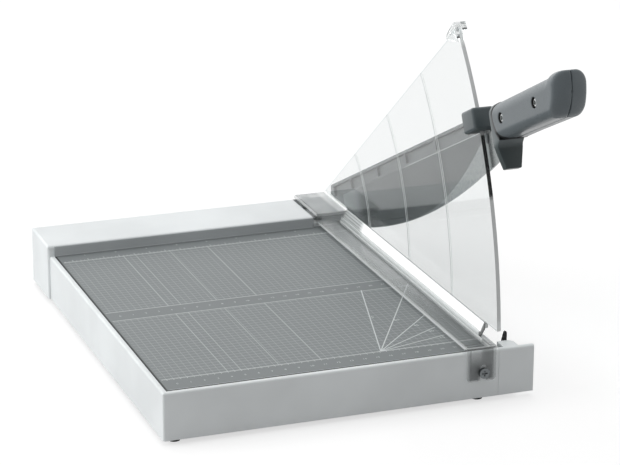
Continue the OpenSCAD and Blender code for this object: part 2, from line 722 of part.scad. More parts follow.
// Clip on the fan's upper corner that stops the raised arm
module guard_stop_clip() color([0.85, 0.9, 0.92, 0.6]) {
    p = fan_corner();
    at_pivot() translate([0, -p, fan_rise + p * tan(fan_slope)]) rotate([-fan_slope, 0, 0]) {
        fan_plate(fan_x0 - clip_t, fan_x0 - 0.05) clip_outline(17);
        fan_plate(fan_x1 + 0.05, fan_x1 + clip_t + 1.4) clip_outline(8);
        fan_plate(fan_x0 - clip_t, fan_x1 + clip_t + 1.4) intersection() {
            clip_outline(12);
            rect([-12, 0.05], [3, clip_up]);
        }
    }
}

module clip_outline(reach) polygon([[-reach, 1.2], [-3, clip_up], [2.6, clip_up], [2.6, -6], [-0.4, -10],
    [-3, -9], [-reach, -1]]);

// How far ahead of the pivot the fan's upper edge meets its round front edge
function fan_corner() = let (t = tan(fan_slope), a = 1 + t * t, b = fan_rise * t, c = fan_rise ^ 2 - fan_r ^ 2)
    (-b + sqrt(b * b - a * c)) / a;

module clamp_guide_pins() color("silver") placed() for (y = pin_ys) translate([pin_x, y, 0]) {
    bar_z(pin_end_z, clamp_foot_top, pin_d / 2);
    bar_z(pin_end_z, pin_end_z + pin_ring_h, pin_d / 2 + 1.4);
    bar_z(clamp_foot_top, clamp_foot_top + pin_ring_h, pin_d / 2 + 1.4);
}

// Places the screws of the blade along the arm
module at_blade_screws() {
    step = (block_u0 - 60) / blade_screws_n;
    for (i = [0 : blade_screws_n - 1]) translate([0, -(60 + step * (i + 0.5)), 4]) children();
}

// Blade with a curved edge, flat on the left face and ground on the right
module blade() color([0.6, 0.62, 0.63]) on_arm() difference() {
    intersection() {
        fan_plate(blade_x0, blade_x0 + blade_t) {
            rect([blade_rear, -blade_low_v - over], [block_u1, block_v0 - panel_gap]);
            rect([blade_rear, -blade_low_v - over], [blade_front, neck_top - panel_gap]);
        }
        translate([0, -blade_low_u, blade_vc]) {
            bar_x(blade_x0 - over, blade_x0 + blade_t / 2, blade_r, $fn = fine);
            translate([blade_x0 + blade_t / 2 - 0.01, 0, 0]) rotate([0, 90, 0])
                cylinder(r1 = blade_r, r2 = blade_r - bevel_h, h = blade_t / 2 + 0.02, $fn = fine);
        }
    }
    at_blade_screws() bar_x(blade_x0 + 0.8, blade_x0 + blade_t + over, screw_d / 2 + seat_gap);
    translate([blade_x0, -front_screw_u, front_screw_v]) front_screw_form(seat_gap);
}

// Countersunk head and shank of the screw at the blade's front end
module front_screw_form(gap) rotate([0, 90, 0]) {
    cylinder(r1 = front_screw_r + gap, r2 = screw_d / 2 + gap, h = blade_t - 0.3);
    cylinder(r = screw_d / 2 + gap, h = blade_t + 4);
}

// Outline of the arm, with its boss, its raked rear end and its tapering lower edge
module casting_outline() {
    back = arm_top * tan(rear_rake);
    circle(boss_r);
    polygon([[4 - back, 0], [4, arm_top], [block_u1, arm_top], [block_u1, neck_top], [neck_u1, neck_top],
        [neck_u1, neck_low], [block_u0 - 20, neck_low], [60, -9], [0, -boss_r + 0.02]]);
}

// Pocket between two ribs of the band
module band_pocket(u0, u1)
    soft_rect([u0 + band_rib / 2, block_v0 + 1.4], [u1 - band_rib / 2, arm_top - 2.4], 1.2);

// Pocket in the arm's outer face between two ribs
module outer_pocket(u0, u1) soft_rect([u0 + band_rib / 2 + 2, 9], [u1 - band_rib / 2 - 2, arm_top - 3], 2.5);

module arm_casting() color([0.66, 0.68, 0.68]) on_arm() difference() {
    union() {
        fan_plate(arm_x0, arm_x1) casting_outline();
        fan_plate(arm_x0, tang_x1) rect([neck_u1 - over, tang_v0], [tang_u1, tang_v1]);
        fan_plate(arm_x0, tang_x1) rect([neck_u1 - 4, neck_top - over], [neck_u1, tang_v1]);
        fan_plate(arm_x1 - 4, peg_x + 1.2) rect([lug_u() - 4, lug_v()], [lug_u() + 4, neck_top - 1]);
    }
    fan_plate(arm_x0 - over, blade_x0 + blade_t + panel_gap)
        rect([blade_rear - panel_gap, -blade_low_v], [blade_front + panel_gap, block_v0]);
    translate([blade_x0, -front_screw_u, front_screw_v]) front_screw_form(seat_gap);
    fan_plate(arm_x0 - over, block_x1 + panel_gap)
        rect([block_u0 - panel_gap, block_v0], [block_u1 + over, arm_top + over]);
    fan_plate(arm_x0 - over, arm_x0 + band_deep) {
        band_pocket(8, band_first);
        for (i = [0 : band_ribs - 1])
            band_pocket(band_first + band_pitch * i, min(band_first + band_pitch * (i + 1), block_u0));
    }
    fan_plate(arm_x1 - 3, arm_x1 + over)
        for (i = [0 : band_ribs - 2])
            outer_pocket(band_first + band_pitch * i, band_first + band_pitch * (i + 1));
    bar_x(arm_x0 - over, arm_x1 + over, bush_d / 2 + seat_gap);
    at_blade_screws() {
        bar_x(arm_x0 - over, arm_x1 + over, screw_d / 2 + seat_gap);
        bar_x(arm_x1 - screw_head_h, arm_x1 + over, screw_head_d / 2 + seat_gap);
    }
    at_block_screw() {
        bar_x(block_x1 - over, arm_x1 + over, 1.5 + seat_gap);
        bar_x(arm_x1 - 1.5, arm_x1 + over, 3 + seat_gap);
    }
    for (u = screw_us) translate([0, -u, screw_v]) bar_x(arm_x0 - over, tang_x1 + over, 2 + seat_gap);
}

// Place of the arm's lug, which meets the peg at the low stop
function lug_u() = (pivot_y - peg_y) * cos(arm_low) + (peg_up - pivot_z) * sin(arm_low);
function lug_v() = (peg_up - pivot_z) * cos(arm_low) - (pivot_y - peg_y) * sin(arm_low) + blade_gap;

module blade_screws() color("silver") on_arm() {
    at_blade_screws() {
        bar_x(arm_x1 - screw_head_h, arm_x1, screw_head_d / 2);
        bar_x(blade_x0 + 1, arm_x1 - screw_head_h, screw_d / 2);
    }
    translate([blade_x0, -front_screw_u, front_screw_v]) front_screw_form(0);
}

module pivot_bush() color("goldenrod") on_arm() difference() {
    bar_x(arm_x0, arm_x1, bush_d / 2);
    bar_x(arm_x0 - over, arm_x1 + over, bolt_d / 2 + run_gap);
}

// Block that hooks round the fan's front edge and keeps the blade beside it
module guide_block() color([0.4, 0.43, 0.44]) on_arm() difference() {
    intersection() {
        fan_plate(block_x0, block_x1) soft_rect([block_u0, block_v0], [block_u1, block_v0 + block_h], 2);
        along_u(block_u0, block_u1) soft_rect([block_x0, block_v0], [block_x1, block_v0 + block_h], 2);
    }
    bar_x(fan_x0 - 0.4, fan_x1 + 0.4, fan_r + 0.5, $fn = fine);
    at_block_screw() bar_x(fan_x1, block_x1 + over, 1.5 + seat_gap);
}

// Places the screw of the guide block
module at_block_screw() translate([0, -(block_u0 + block_u1) / 2, block_screw_v]) children();

module guide_block_screw() color("silver") on_arm() at_block_screw() {
    bar_x(arm_x1 - 1.5, arm_x1, 3);
    bar_x(fan_x1 + 0.6, arm_x1 - 1.5, 1.5);
}

// Outline of the collar and the finger guard that hangs from it, up to the round seam
module collar_outline() difference() {
    polygon([[collar_u0, grip_top + over], [collar_u0, -finger_low], [collar_u0 + collar_t, -finger_low],
        [collar_u0 + collar_t + 0.4, neck_low], [seam_u + 1, grip_low + 0.6], [seam_u + 6, grip_low + 0.6],
        [seam_u + 6, grip_top + over]]);
    translate([socket_u, socket_v]) circle(socket_r + panel_gap, $fn = fine);
}

// Section across the collar: round on top, tapering towards the finger guard's lower end
module collar_section() intersection() {
    soft_top([collar_x0, -finger_low - over], [collar_x1, grip_top + 0.4], handle_r - 2);
    polygon([[finger_x - finger_w / 2, -finger_low - over], [finger_x + finger_w / 2, -finger_low - over],
        [collar_x1, 0], [collar_x1, grip_top + over], [collar_x0, grip_top + over], [collar_x0, 0]]);
}

module finger_guard() color([0.33, 0.37, 0.37]) on_arm() difference() {
    intersection() {
        fan_plate(collar_x0 - over, collar_x1 + over) collar_outline();
        along_u(collar_u0 - over, socket_u) collar_section();
    }
    fan_plate(blade_x0 - panel_gap, arm_x1 + panel_gap)
        rect([collar_u0 - over, neck_low - panel_gap], [neck_u1 + panel_gap, neck_top + panel_gap]);
    fan_plate(arm_x0 - panel_gap, tang_x1 + panel_gap)
        rect([collar_u0 - over, tang_v0 - panel_gap], [socket_u, tang_v1 + panel_gap]);
}

// Side outline of the handle, round where it sits in the collar
module handle_outline() intersection() {
    rect([seam_u - over, grip_low - over], [knob_u0 + 8, grip_top + over]);
    union() {
        translate([socket_u, socket_v]) circle(socket_r, $fn = fine);
        rect([socket_u, grip_low - over], [grip_u1, grip_top + over]);
    }
}

// Swollen end of the handle, rounded in all three directions
module knob_form() intersection() {
    x0 = grip_x - knob_w / 2;
    x1 = grip_x + knob_w / 2;
    fan_plate(x0 - over, x1 + over) intersection() {
        translate([end_u, end_v]) circle(end_r, $fn = fine);
        translate([hump_u, grip_top + hump_up - hump_r]) circle(hump_r, $fn = fine);
        rect([knob_u0, grip_low - over], [grip_u1 + over, grip_top + hump_up + over]);
    }
    along_u(knob_u0, grip_u1 + over) soft_rect([x0, grip_low], [x1, grip_top + hump_up + 0.4], handle_r + 1);
    translate([grip_x, end_plan_r - grip_u1, 0])
        bar_z(grip_low - over, grip_top + hump_up + over, end_plan_r, $fn = fine);
}

module handle_form() difference() {
    union() {
        intersection() {
            fan_plate(grip_x - handle_w, grip_x + handle_w) handle_outline();
            along_u(seam_u, grip_u1)
                soft_rect([grip_x - handle_w / 2, grip_low], [grip_x + handle_w / 2, grip_top], handle_r);
        }
        knob_form();
    }
    fan_plate(arm_x0 - panel_gap, tang_x1 + panel_gap)
        rect([seam_u - over, tang_v0 - panel_gap], [tang_u1 + panel_gap, tang_v1 + panel_gap]);
    for (u = screw_us) translate([0, -u, screw_v]) {
        bar_x(grip_x - handle_w, screw_seat_x, recess_d / 2);
        bar_x(screw_seat_x - over, grip_x + screw_bite, 2 + seat_gap);
    }
}

module handle_left() color([0.5, 0.52, 0.53]) on_arm() intersection() {
    handle_form();
    block([grip_x - handle_w, -grip_u1 - over, grip_low - over], [grip_x - 0.05, 0, grip_top + hump_r]);
}

module handle_right() color([0.5, 0.52, 0.53]) on_arm() intersection() {
    handle_form();
    block([grip_x + 0.05, -grip_u1 - over, grip_low - over], [grip_x + handle_w, 0, grip_top + hump_r]);
}

module handle_screws() color("silver") on_arm() for (u = screw_us) translate([0, -u, screw_v]) {
    difference() {
        bar_x(screw_seat_x - 3, screw_seat_x, recess_d / 2 - 0.3);
        translate([screw_seat_x - 3 - over, 0, 0]) rotate([0, 90, 0])
            linear_extrude(over + 1.6) hex(recess_d / 2);
    }
    bar_x(screw_seat_x, grip_x + screw_bite - 1, 2);
}

base_tray();
end_block();
end_block_screw();
cutting_board();
counter_edge();
counter_edge_screws();
rear_housing();
paper_stop();
housing_screws();
bottom_plate();
bottom_screws();
feet();
pivot_plate();
pivot_bolt();
thrust_washer();
disc_spring();
lock_nut();
clamp_screw();
stop_peg();
return_springs();
clamp_rail();
guard_fan();
guard_stop_clip();
clamp_guide_pins();
blade();
arm_casting();
blade_screws();
pivot_bush();
guide_block();
guide_block_screw();
finger_guard();
handle_left();
handle_right();
handle_screws();
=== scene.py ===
"""Looks of a lever paper cutter with a clear guard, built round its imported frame.

All sizes are millimetres in the board's corner frame: X right along the front wall, Y to the
rear, Z up, from the top of the board's front left corner. placed() takes them to the shared
frame in metres.
"""

import logging
import math
from dataclasses import dataclass
from enum import Enum
from functools import reduce

import bmesh
import bpy
import numpy as np
from mathutils import Matrix, Vector

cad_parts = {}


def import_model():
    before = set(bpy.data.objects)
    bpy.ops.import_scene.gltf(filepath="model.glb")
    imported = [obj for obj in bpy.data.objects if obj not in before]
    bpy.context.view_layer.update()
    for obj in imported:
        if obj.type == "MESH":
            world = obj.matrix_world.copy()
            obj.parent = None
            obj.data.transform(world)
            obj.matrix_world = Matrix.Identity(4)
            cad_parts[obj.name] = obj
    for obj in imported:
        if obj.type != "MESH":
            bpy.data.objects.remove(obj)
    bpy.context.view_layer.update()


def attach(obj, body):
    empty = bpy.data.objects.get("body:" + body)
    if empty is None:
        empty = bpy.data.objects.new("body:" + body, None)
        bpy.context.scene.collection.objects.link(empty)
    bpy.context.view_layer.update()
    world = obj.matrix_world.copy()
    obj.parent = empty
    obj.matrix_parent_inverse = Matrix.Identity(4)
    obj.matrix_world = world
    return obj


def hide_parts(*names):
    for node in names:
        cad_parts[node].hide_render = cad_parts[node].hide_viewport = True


LOG = logging.getLogger("paper_cutter")
MM = 0.001
CORNER = np.array([-139.75, -129.138, 39.3])
MERGE = 1e-6
IMAGE_WIDTH = 620
SENSOR = 36.0
QUARTER = math.pi / 2
PLASTIC_IOR = 1.46
ACRYLIC_IOR = 1.49
WHITE = (1.0, 1.0, 1.0, 1.0)

Point = tuple[float, float, float]
Colour = tuple[float, float, float]
Span = tuple[float, float]
Shape = tuple[np.ndarray, list[list[int]]]
Socket = bpy.types.NodeSocket


def placed(points: np.ndarray) -> np.ndarray:
    """Takes corner-frame points in millimetres to the shared frame in metres."""
    return (np.asarray(points, float) + CORNER) * MM


def linear(rgb: Colour, tone: float = 1.0) -> tuple[float, ...]:
    """Turns an 8-bit display colour into the linear colour that a shader takes.

    Args:
        rgb: The display colour.
        tone: Factor on it, which stops at white.

    Returns:
        Linear red, green and blue, and full opacity.
    """
    c = np.minimum(np.array(rgb, float) * tone, 255.0) / 255.0
    out = np.where(c <= 0.04045, c / 12.92, ((c + 0.055) / 1.055) ** 2.4)
    return (*out.tolist(), 1.0)


# ---------------------------------------------------------------- geometry


@dataclass(frozen=True)
class ArmFrame:
    """The arm's own frame: u runs from the pivot along the raised arm, v stands square to it."""

    pivot_y: float = 335.0
    pivot_z: float = -6.0
    angle: float = 25.5

    def points(self, x: np.ndarray, u: np.ndarray, v: np.ndarray) -> np.ndarray:
        """Turns arm coordinates up by the arm's angle about the pivot.

        Args:
            x: Places along the pivot.
            u: Places along the arm.
            v: Places square to it.

        Returns:
            Corner-frame points, the three arrays broadcast together.
        """
        a = math.radians(self.angle)
        x, u, v = np.broadcast_arrays(np.asarray(x, float), u, v)
        y = self.pivot_y - (u * math.cos(a) - v * math.sin(a))
        z = self.pivot_z + u * math.sin(a) + v * math.cos(a)
        return np.stack([x, y, z], axis=-1)


@dataclass(frozen=True)
class Seam:
    """Round seam of collar and handle: an arc that bulges to the pivot, its middle at v."""

    u: float = 377.8
    v: float = 19.5
    r: float = 21.5
    gap: float = 1.3

    def at(self, v: np.ndarray) -> np.ndarray:
        """Where the arc lies along the arm, at each v."""
        return self.u + self.r - np.sqrt(self.r**2 - (v - self.v) ** 2)

    def depth(self, u: "Value", v: "Value", shift: float = 0.0) -> tuple["Value", "Value"]:
        """How far a place lies inside the arc, the radius less its distance from the centre.

        Args:
            u: The place along the arm.
            v: The place square to it.
            shift: How far the arc is moved along the arm.

        Returns:
            The depth, and 1 on the pivot's side of the centre.
        """
        du = u - (self.u + self.r + shift)
        return self.r - length(du, v - self.v), du < 0.0


@dataclass(frozen=True)
class ScrewHoles:
    """The two sunk screw holes in the handle's left shell."""

    u: Span = (395.0, 453.0)
    v: float = 16.0
    r: float = 3.75
    floor_x: float = 249.0


@dataclass(frozen=True)
class Rulings:
    """Where the board's printed rulers lie."""

    cm_x0: float = 15.2
    inch_x0: float = 27.1
    inch: float = 25.4
    front: float = 24.9
    band: float = 156.4
    rear: float = 286.0


ARM = ArmFrame()
SEAM = Seam()
HOLES = ScrewHoles()
RULED = Rulings()


def grid_faces(rows: int, cols: int, wrap: bool) -> list[list[int]]:
    """Quads of a grid of points stored row by row.

    Args:
        rows: Number of rows.
        cols: Number of points in a row.
        wrap: Whether the last column joins the first.

    Returns:
        Faces as lists of point numbers.
    """
    r = np.arange(rows - 1)[:, None] * cols
    c = np.arange(cols if wrap else cols - 1)[None, :]
    n = (c + 1) % cols
    return np.stack([r + c, r + n, r + cols + n, r + cols + c], axis=-1).reshape(-1, 4).tolist()


def tube_faces(rows: int, cols: int) -> list[list[int]]:
    """Faces of a closed tube of loops, with a flat cap on each end."""
    caps = [list(range(cols))[::-1], list(range((rows - 1) * cols, rows * cols))]
    return grid_faces(rows, cols, True) + caps


def joined(shapes: list[Shape]) -> Shape:
    """Makes several shapes one, each one's faces counted on from the points before it."""
    starts = np.cumsum([0] + [len(points) for points, _ in shapes]).tolist()
    faces = [[i + s for i in face] for s, (_, part) in zip(starts, shapes) for face in part]
    return np.concatenate([points for points, _ in shapes]), faces


def unit_rows(vectors: np.ndarray) -> np.ndarray:
    """Each row divided by its length."""
    return vectors / np.linalg.norm(vectors, axis=1, keepdims=True)


def round_the_corners(steps: int) -> tuple[np.ndarray, np.ndarray, np.ndarray]:
    """Directions once round the four corners of a box.

    Args:
        steps: Steps over each quarter turn.

    Returns:
        The angles, and the sides of X and of Y, 1 or -1, that they lie on.
    """
    turn = np.linspace(0, QUARTER, steps + 1)
    angle = np.concatenate([turn + k * QUARTER for k in range(4)])
    return angle, np.repeat([1, -1, -1, 1], steps + 1), np.repeat([1, 1, -1, -1], steps + 1)


def soft_box(low: Point, high: Point, radius: float, steps: int = 4) -> Shape:
    """Box whose edges and corners are rounded.

    Each point is the box corner that its direction points to, drawn in by the radius, plus the
    radius along that direction; the directions run over a sphere by latitude and longitude.

    Args:
        low: Lowest corner.
        high: Highest corner.
        radius: Rounding radius.
        steps: Steps over each quarter turn.

    Returns:
        Points of shape (n, 3) and faces.
    """
    lo, hi = np.array(low, float), np.array(high, float)
    lon, side_x, side_y = round_the_corners(steps)
    turn = np.linspace(0, QUARTER, steps + 1)
    lat = np.concatenate([turn - QUARTER, turn])[:, None]
    side_z = np.repeat([-1, 1], steps + 1)[:, None]
    flat = np.cos(lat)
    unit = np.stack(np.broadcast_arrays(flat * np.cos(lon), flat * np.sin(lon), np.sin(lat)), -1)
    side = np.stack(np.broadcast_arrays(side_x, side_y, side_z), -1)
    points = (lo + hi) / 2 + side * ((hi - lo) / 2 - radius) + radius * unit
    return points.reshape(-1, 3), tube_faces(len(lat), len(lon))


def edged_plate(outline: np.ndarray, x0: float, x1: float, edge: float, steps: int = 3) -> Shape:
    """Plate with rounded edges: a (u, v) outline carried from x0 to x1.

    The outline is drawn in along its own normals by edge * (1 - sin t) while X runs
    edge * (1 - cos t) in from each face. Its corners need radii over 1.42 edges, or the drawn
    in outline crosses itself.

    Args:
        outline: Points of the closed outline, counter-clockwise, shape (n, 2).
        x0: Lower face.
        x1: Upper face.
        edge: Radius of the rounded edges.
        steps: Steps over each rounding.

    Returns:
        Points (x, u, v) of shape (n, 3) and faces.
    """
    ahead = unit_rows(np.roll(outline, -1, 0) - outline)
    back = unit_rows(outline - np.roll(outline, 1, 0))
    mitre = unit_rows(ahead + back)
    normal = np.stack([mitre[:, 1], -mitre[:, 0]], -1)
    widen = 1 / np.maximum(0.5, (mitre * ahead).sum(1, keepdims=True))
    t = np.linspace(0, QUARTER, steps + 1)
    inset = edge * (1 - np.concatenate([np.sin(t), np.cos(t)]))
    xs = np.concatenate([x0 + edge * (1 - np.cos(t)), x1 - edge * (1 - np.sin(t))])
    loops = outline[None] - normal[None] * widen[None] * inset[:, None, None]
    along = np.broadcast_to(xs[:, None, None], loops.shape[:2] + (1,))
    return np.concatenate([along, loops], -1).reshape(-1, 3), tube_faces(len(xs), len(outline))


def round_corners(corners_at: list[Point], steps: int = 5) -> np.ndarray:
    """Closed outline through corners, each rounded by its own radius along a parabola.

    Args:
        corners_at: (u, v, radius) of each corner, counter-clockwise.
        steps: Steps over each rounding.

    Returns:
        Outline points of shape (n, 2).
    """
    table = np.array(corners_at, float)
    p, r = table[:, :2], table[:, 2]
    to_prev, to_next = unit_rows(np.roll(p, 1, 0) - p), unit_rows(np.roll(p, -1, 0) - p)
    half = np.arccos(np.clip((to_prev * to_next).sum(1), -1, 1)) / 2
    reach = (r / np.tan(half))[:, None]
    a, b = p + to_prev * reach, p + to_next * reach
    t = np.linspace(0, 1, steps + 1)[None, :, None]
    curve = (1 - t) ** 2 * a[:, None] + 2 * t * (1 - t) * p[:, None] + t**2 * b[:, None]
    return curve.reshape(-1, 2)


def rounded_loft(
    low: np.ndarray, high: np.ndarray, level: np.ndarray, radius: np.ndarray | float, steps: int = 4
) -> Shape:
    """Body through rounded rectangles, one at each level.

    Each corner point is the corner's centre plus the radius along an angle that runs a quarter
    turn from corner to corner.

    Args:
        low: Lower (a, b) bounds at each level, shape (n, 2).
        high: Upper (a, b) bounds at each level, shape (n, 2).
        level: The third coordinate of each level.
        radius: Corner radius at each level.
        steps: Steps over each corner.

    Returns:
        Points (a, b, level) of shape (m, 3) and faces.
    """
    angle, side_a, side_b = round_the_corners(steps)
    r = np.broadcast_to(np.asarray(radius, float), level.shape)[:, None]
    a = np.where(side_a > 0, high[:, :1] - r, low[:, :1] + r) + r * np.cos(angle)
    b = np.where(side_b > 0, high[:, 1:] - r, low[:, 1:] + r) + r * np.sin(angle)
    points = np.stack(np.broadcast_arrays(a, b, level[:, None]), -1)
    return points.reshape(-1, 3), tube_faces(len(level), len(angle))


def swept(profile: np.ndarray, x0: float, x1: float) -> Shape:
    """Closed (y, z) profile carried straight from x0 to x1."""
    ends = np.array([x0, x1])[:, None]
    points = np.stack(np.broadcast_arrays(ends, profile[None, :, 0], profile[None, :, 1]), -1)
    return points.reshape(-1, 3), tube_faces(2, len(profile))


def reordered(shape: Shape, order: list[int]) -> Shape:
    """The same shape with its coordinates in another order."""
    points, faces = shape
    return points[:, order], faces


# ---------------------------------------------------------------- pieces


class Body(Enum):
    """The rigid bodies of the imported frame."""

    BASE = "base"
    CLAMP = "clamp"
    ARM = "arm"


class Slot(Enum):
    """The record's material slots, passed with each new piece but not used."""

    STOP = "stop_plastic"
    PRINT = "board_print"
    ZINC = "zinc_steel"
    DARK = "dark_plastic"
    GRIP = "grip_plastic"
    CLEAR = "clear_plastic"
    RUBBER = "black_rubber"


def in_scene(name: str, data: bpy.types.ID) -> bpy.types.Object:
    """A new object with this data, linked to the scene."""
    obj = bpy.data.objects.new(name, data)
    bpy.context.scene.collection.objects.link(obj)
    return obj


def settled_mesh(obj: bpy.types.Object) -> bpy.types.Mesh:
    """A new mesh of what the object looks like, its modifiers and type worked out."""
    bpy.context.view_layer.update()
    graph = bpy.context.evaluated_depsgraph_get()
    return bpy.data.meshes.new_from_object(obj.evaluated_get(graph))


def mesh_of(name: str, shape: Shape) -> bpy.types.Mesh:
    """Puts a corner-frame shape into a mesh, merges doubled points and turns faces outwards.

    Args:
        name: The mesh's name.
        shape: Points in millimetres, shape (n, 3), and faces.

    Returns:
        The new mesh, in the shared frame.
    """
    points, faces = shape
    mesh = bpy.data.meshes.new(name)
    mesh.from_pydata(placed(points).tolist(), [], faces)
    mesh.validate()
    bm = bmesh.new()
    bm.from_mesh(mesh)
    bmesh.ops.remove_doubles(bm, verts=bm.verts, dist=MERGE)
    bmesh.ops.recalc_face_normals(bm, faces=bm.faces)
    bm.to_mesh(mesh)
    bm.free()
    return mesh


def make_piece(
    name: str,
    shape: Shape,
    finish: bpy.types.Material,
    body: Body,
    slot: Slot,
    stands_for: tuple[str, ...] = (),
    smooth_below: float = 40.0,
) -> bpy.types.Object:
    """Makes a piece of the cutter from a corner-frame shape and puts it on its body.

    Args:
        name: The piece's name.
        shape: Points in millimetres, shape (n, 3), and faces.
        finish: Material of the whole piece.
        body: Body that it rides on.
        slot: Material slot of the record; not used.
        stands_for: CAD nodes that it replaces.
        smooth_below: Edges that turn by less than this many degrees are shaded smooth.

    Returns:
        The new object, at the origin, its place in its mesh.
    """
    mesh = mesh_of(name, shape)
    mesh.shade_smooth()
    mesh.set_sharp_from_angle(angle=math.radians(smooth_below))
    mesh.materials.append(finish)
    obj = in_scene(name, mesh)
    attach(obj, body.value)
    if stands_for:
        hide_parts(*stands_for)
    return obj


def cut_away(obj: bpy.types.Object, shape: Shape) -> None:
    """Cuts a closed corner-frame shape out of a piece and keeps the result as its mesh.

    Args:
        obj: The piece to cut.
        shape: Points of the cutting shape in millimetres, and its faces.
    """
    tool = in_scene("cutter", mesh_of("cutter", shape))
    modifier = obj.modifiers.new("cut", "BOOLEAN")
    modifier.operation = "DIFFERENCE"
    modifier.solver = "EXACT"
    modifier.object = tool
    done = settled_mesh(obj)
    obj.modifiers.clear()
    old, cutter, name = obj.data, tool.data, obj.data.name
    obj.data = done
    bpy.data.meshes.remove(old)
    done.name = name
    bpy.data.objects.remove(tool)
    bpy.data.meshes.remove(cutter)


# ---------------------------------------------------------------- shading


class Value:
    """A number that varies over a surface, held as a node socket, with plain arithmetic."""

    def __init__(self, shader: "Shader", socket: Socket) -> None:
        """Keeps the shader that the value's nodes go into."""
        self.shader = shader
        self.socket = socket

    def maths(self, operation: str, *others: "Value | float") -> "Value":
        """Adds one Math node that works on this value and the others."""
        return self.shader.maths(operation, self, *others)

    def __add__(self, other: "Value | float") -> "Value":
        """Sum."""
        return self.maths("ADD", other)

    __radd__ = __add__

    def __mul__(self, other: "Value | float") -> "Value":
        """Product."""
        return self.maths("MULTIPLY", other)

    __rmul__ = __mul__

    def __sub__(self, other: "Value | float") -> "Value":
        """Difference."""
        return self.maths("SUBTRACT", other)

    def __rsub__(self, other: float) -> "Value":
        """Difference from a plain number."""
        return self.shader.maths("SUBTRACT", other, self)

    def __pow__(self, other: "Value | float") -> "Value":
        """Power."""
        return self.maths("POWER", other)

    def __gt__(self, other: "Value | float") -> "Value":
        """1 where this value is the larger."""
        return self.maths("GREATER_THAN", other)

    def __lt__(self, other: "Value | float") -> "Value":
        """1 where this value is the smaller."""
        return self.maths("LESS_THAN", other)

    def __abs__(self) -> "Value":
        """Distance from zero."""
        return self.maths("ABSOLUTE")

    def high(self, other: "Value | float") -> "Value":
        """The larger of the two."""
        return self.maths("MAXIMUM", other)

    def step(self, start: float, end: float) -> "Value":
        """Smooth rise between two places.

        Args:
            start: Place up to which it is 0.
            end: Place from which it is 1.

        Returns:
            The rise.
        """
        node = self.shader.node(
            "ShaderNodeMapRange",
            {"interpolation_type": "SMOOTHSTEP"},
            {"Value": self, "From Min": start, "From Max": end, "To Min": 0.0, "To Max": 1.0},
        )
        return Value(self.shader, node.outputs[0])

    def line(self, place: float, width: float) -> "Value":
        """1 within half the width of a place, 0 elsewhere."""
        return abs(self - place) < width / 2

    def lines(self, first: float, pitch: float, width: float) -> "Value":
        """1 on each line of a ruling, 0 between."""
        shifted = (self - (first - pitch / 2)).maths("FLOORED_MODULO", pitch)
        return shifted.line(pitch / 2, width)

    def within(self, low: float, high: float) -> "Value":
        """1 between two places, 0 outside them."""
        return (self > low) * (self < high)


def most(*masks: Value) -> Value:
    """The largest of several values at each place."""
    return reduce(Value.high, masks)


def length(a: Value, b: Value) -> Value:
    """Distance from two differences, by their squares."""
    return (a * a + b * b) ** 0.5


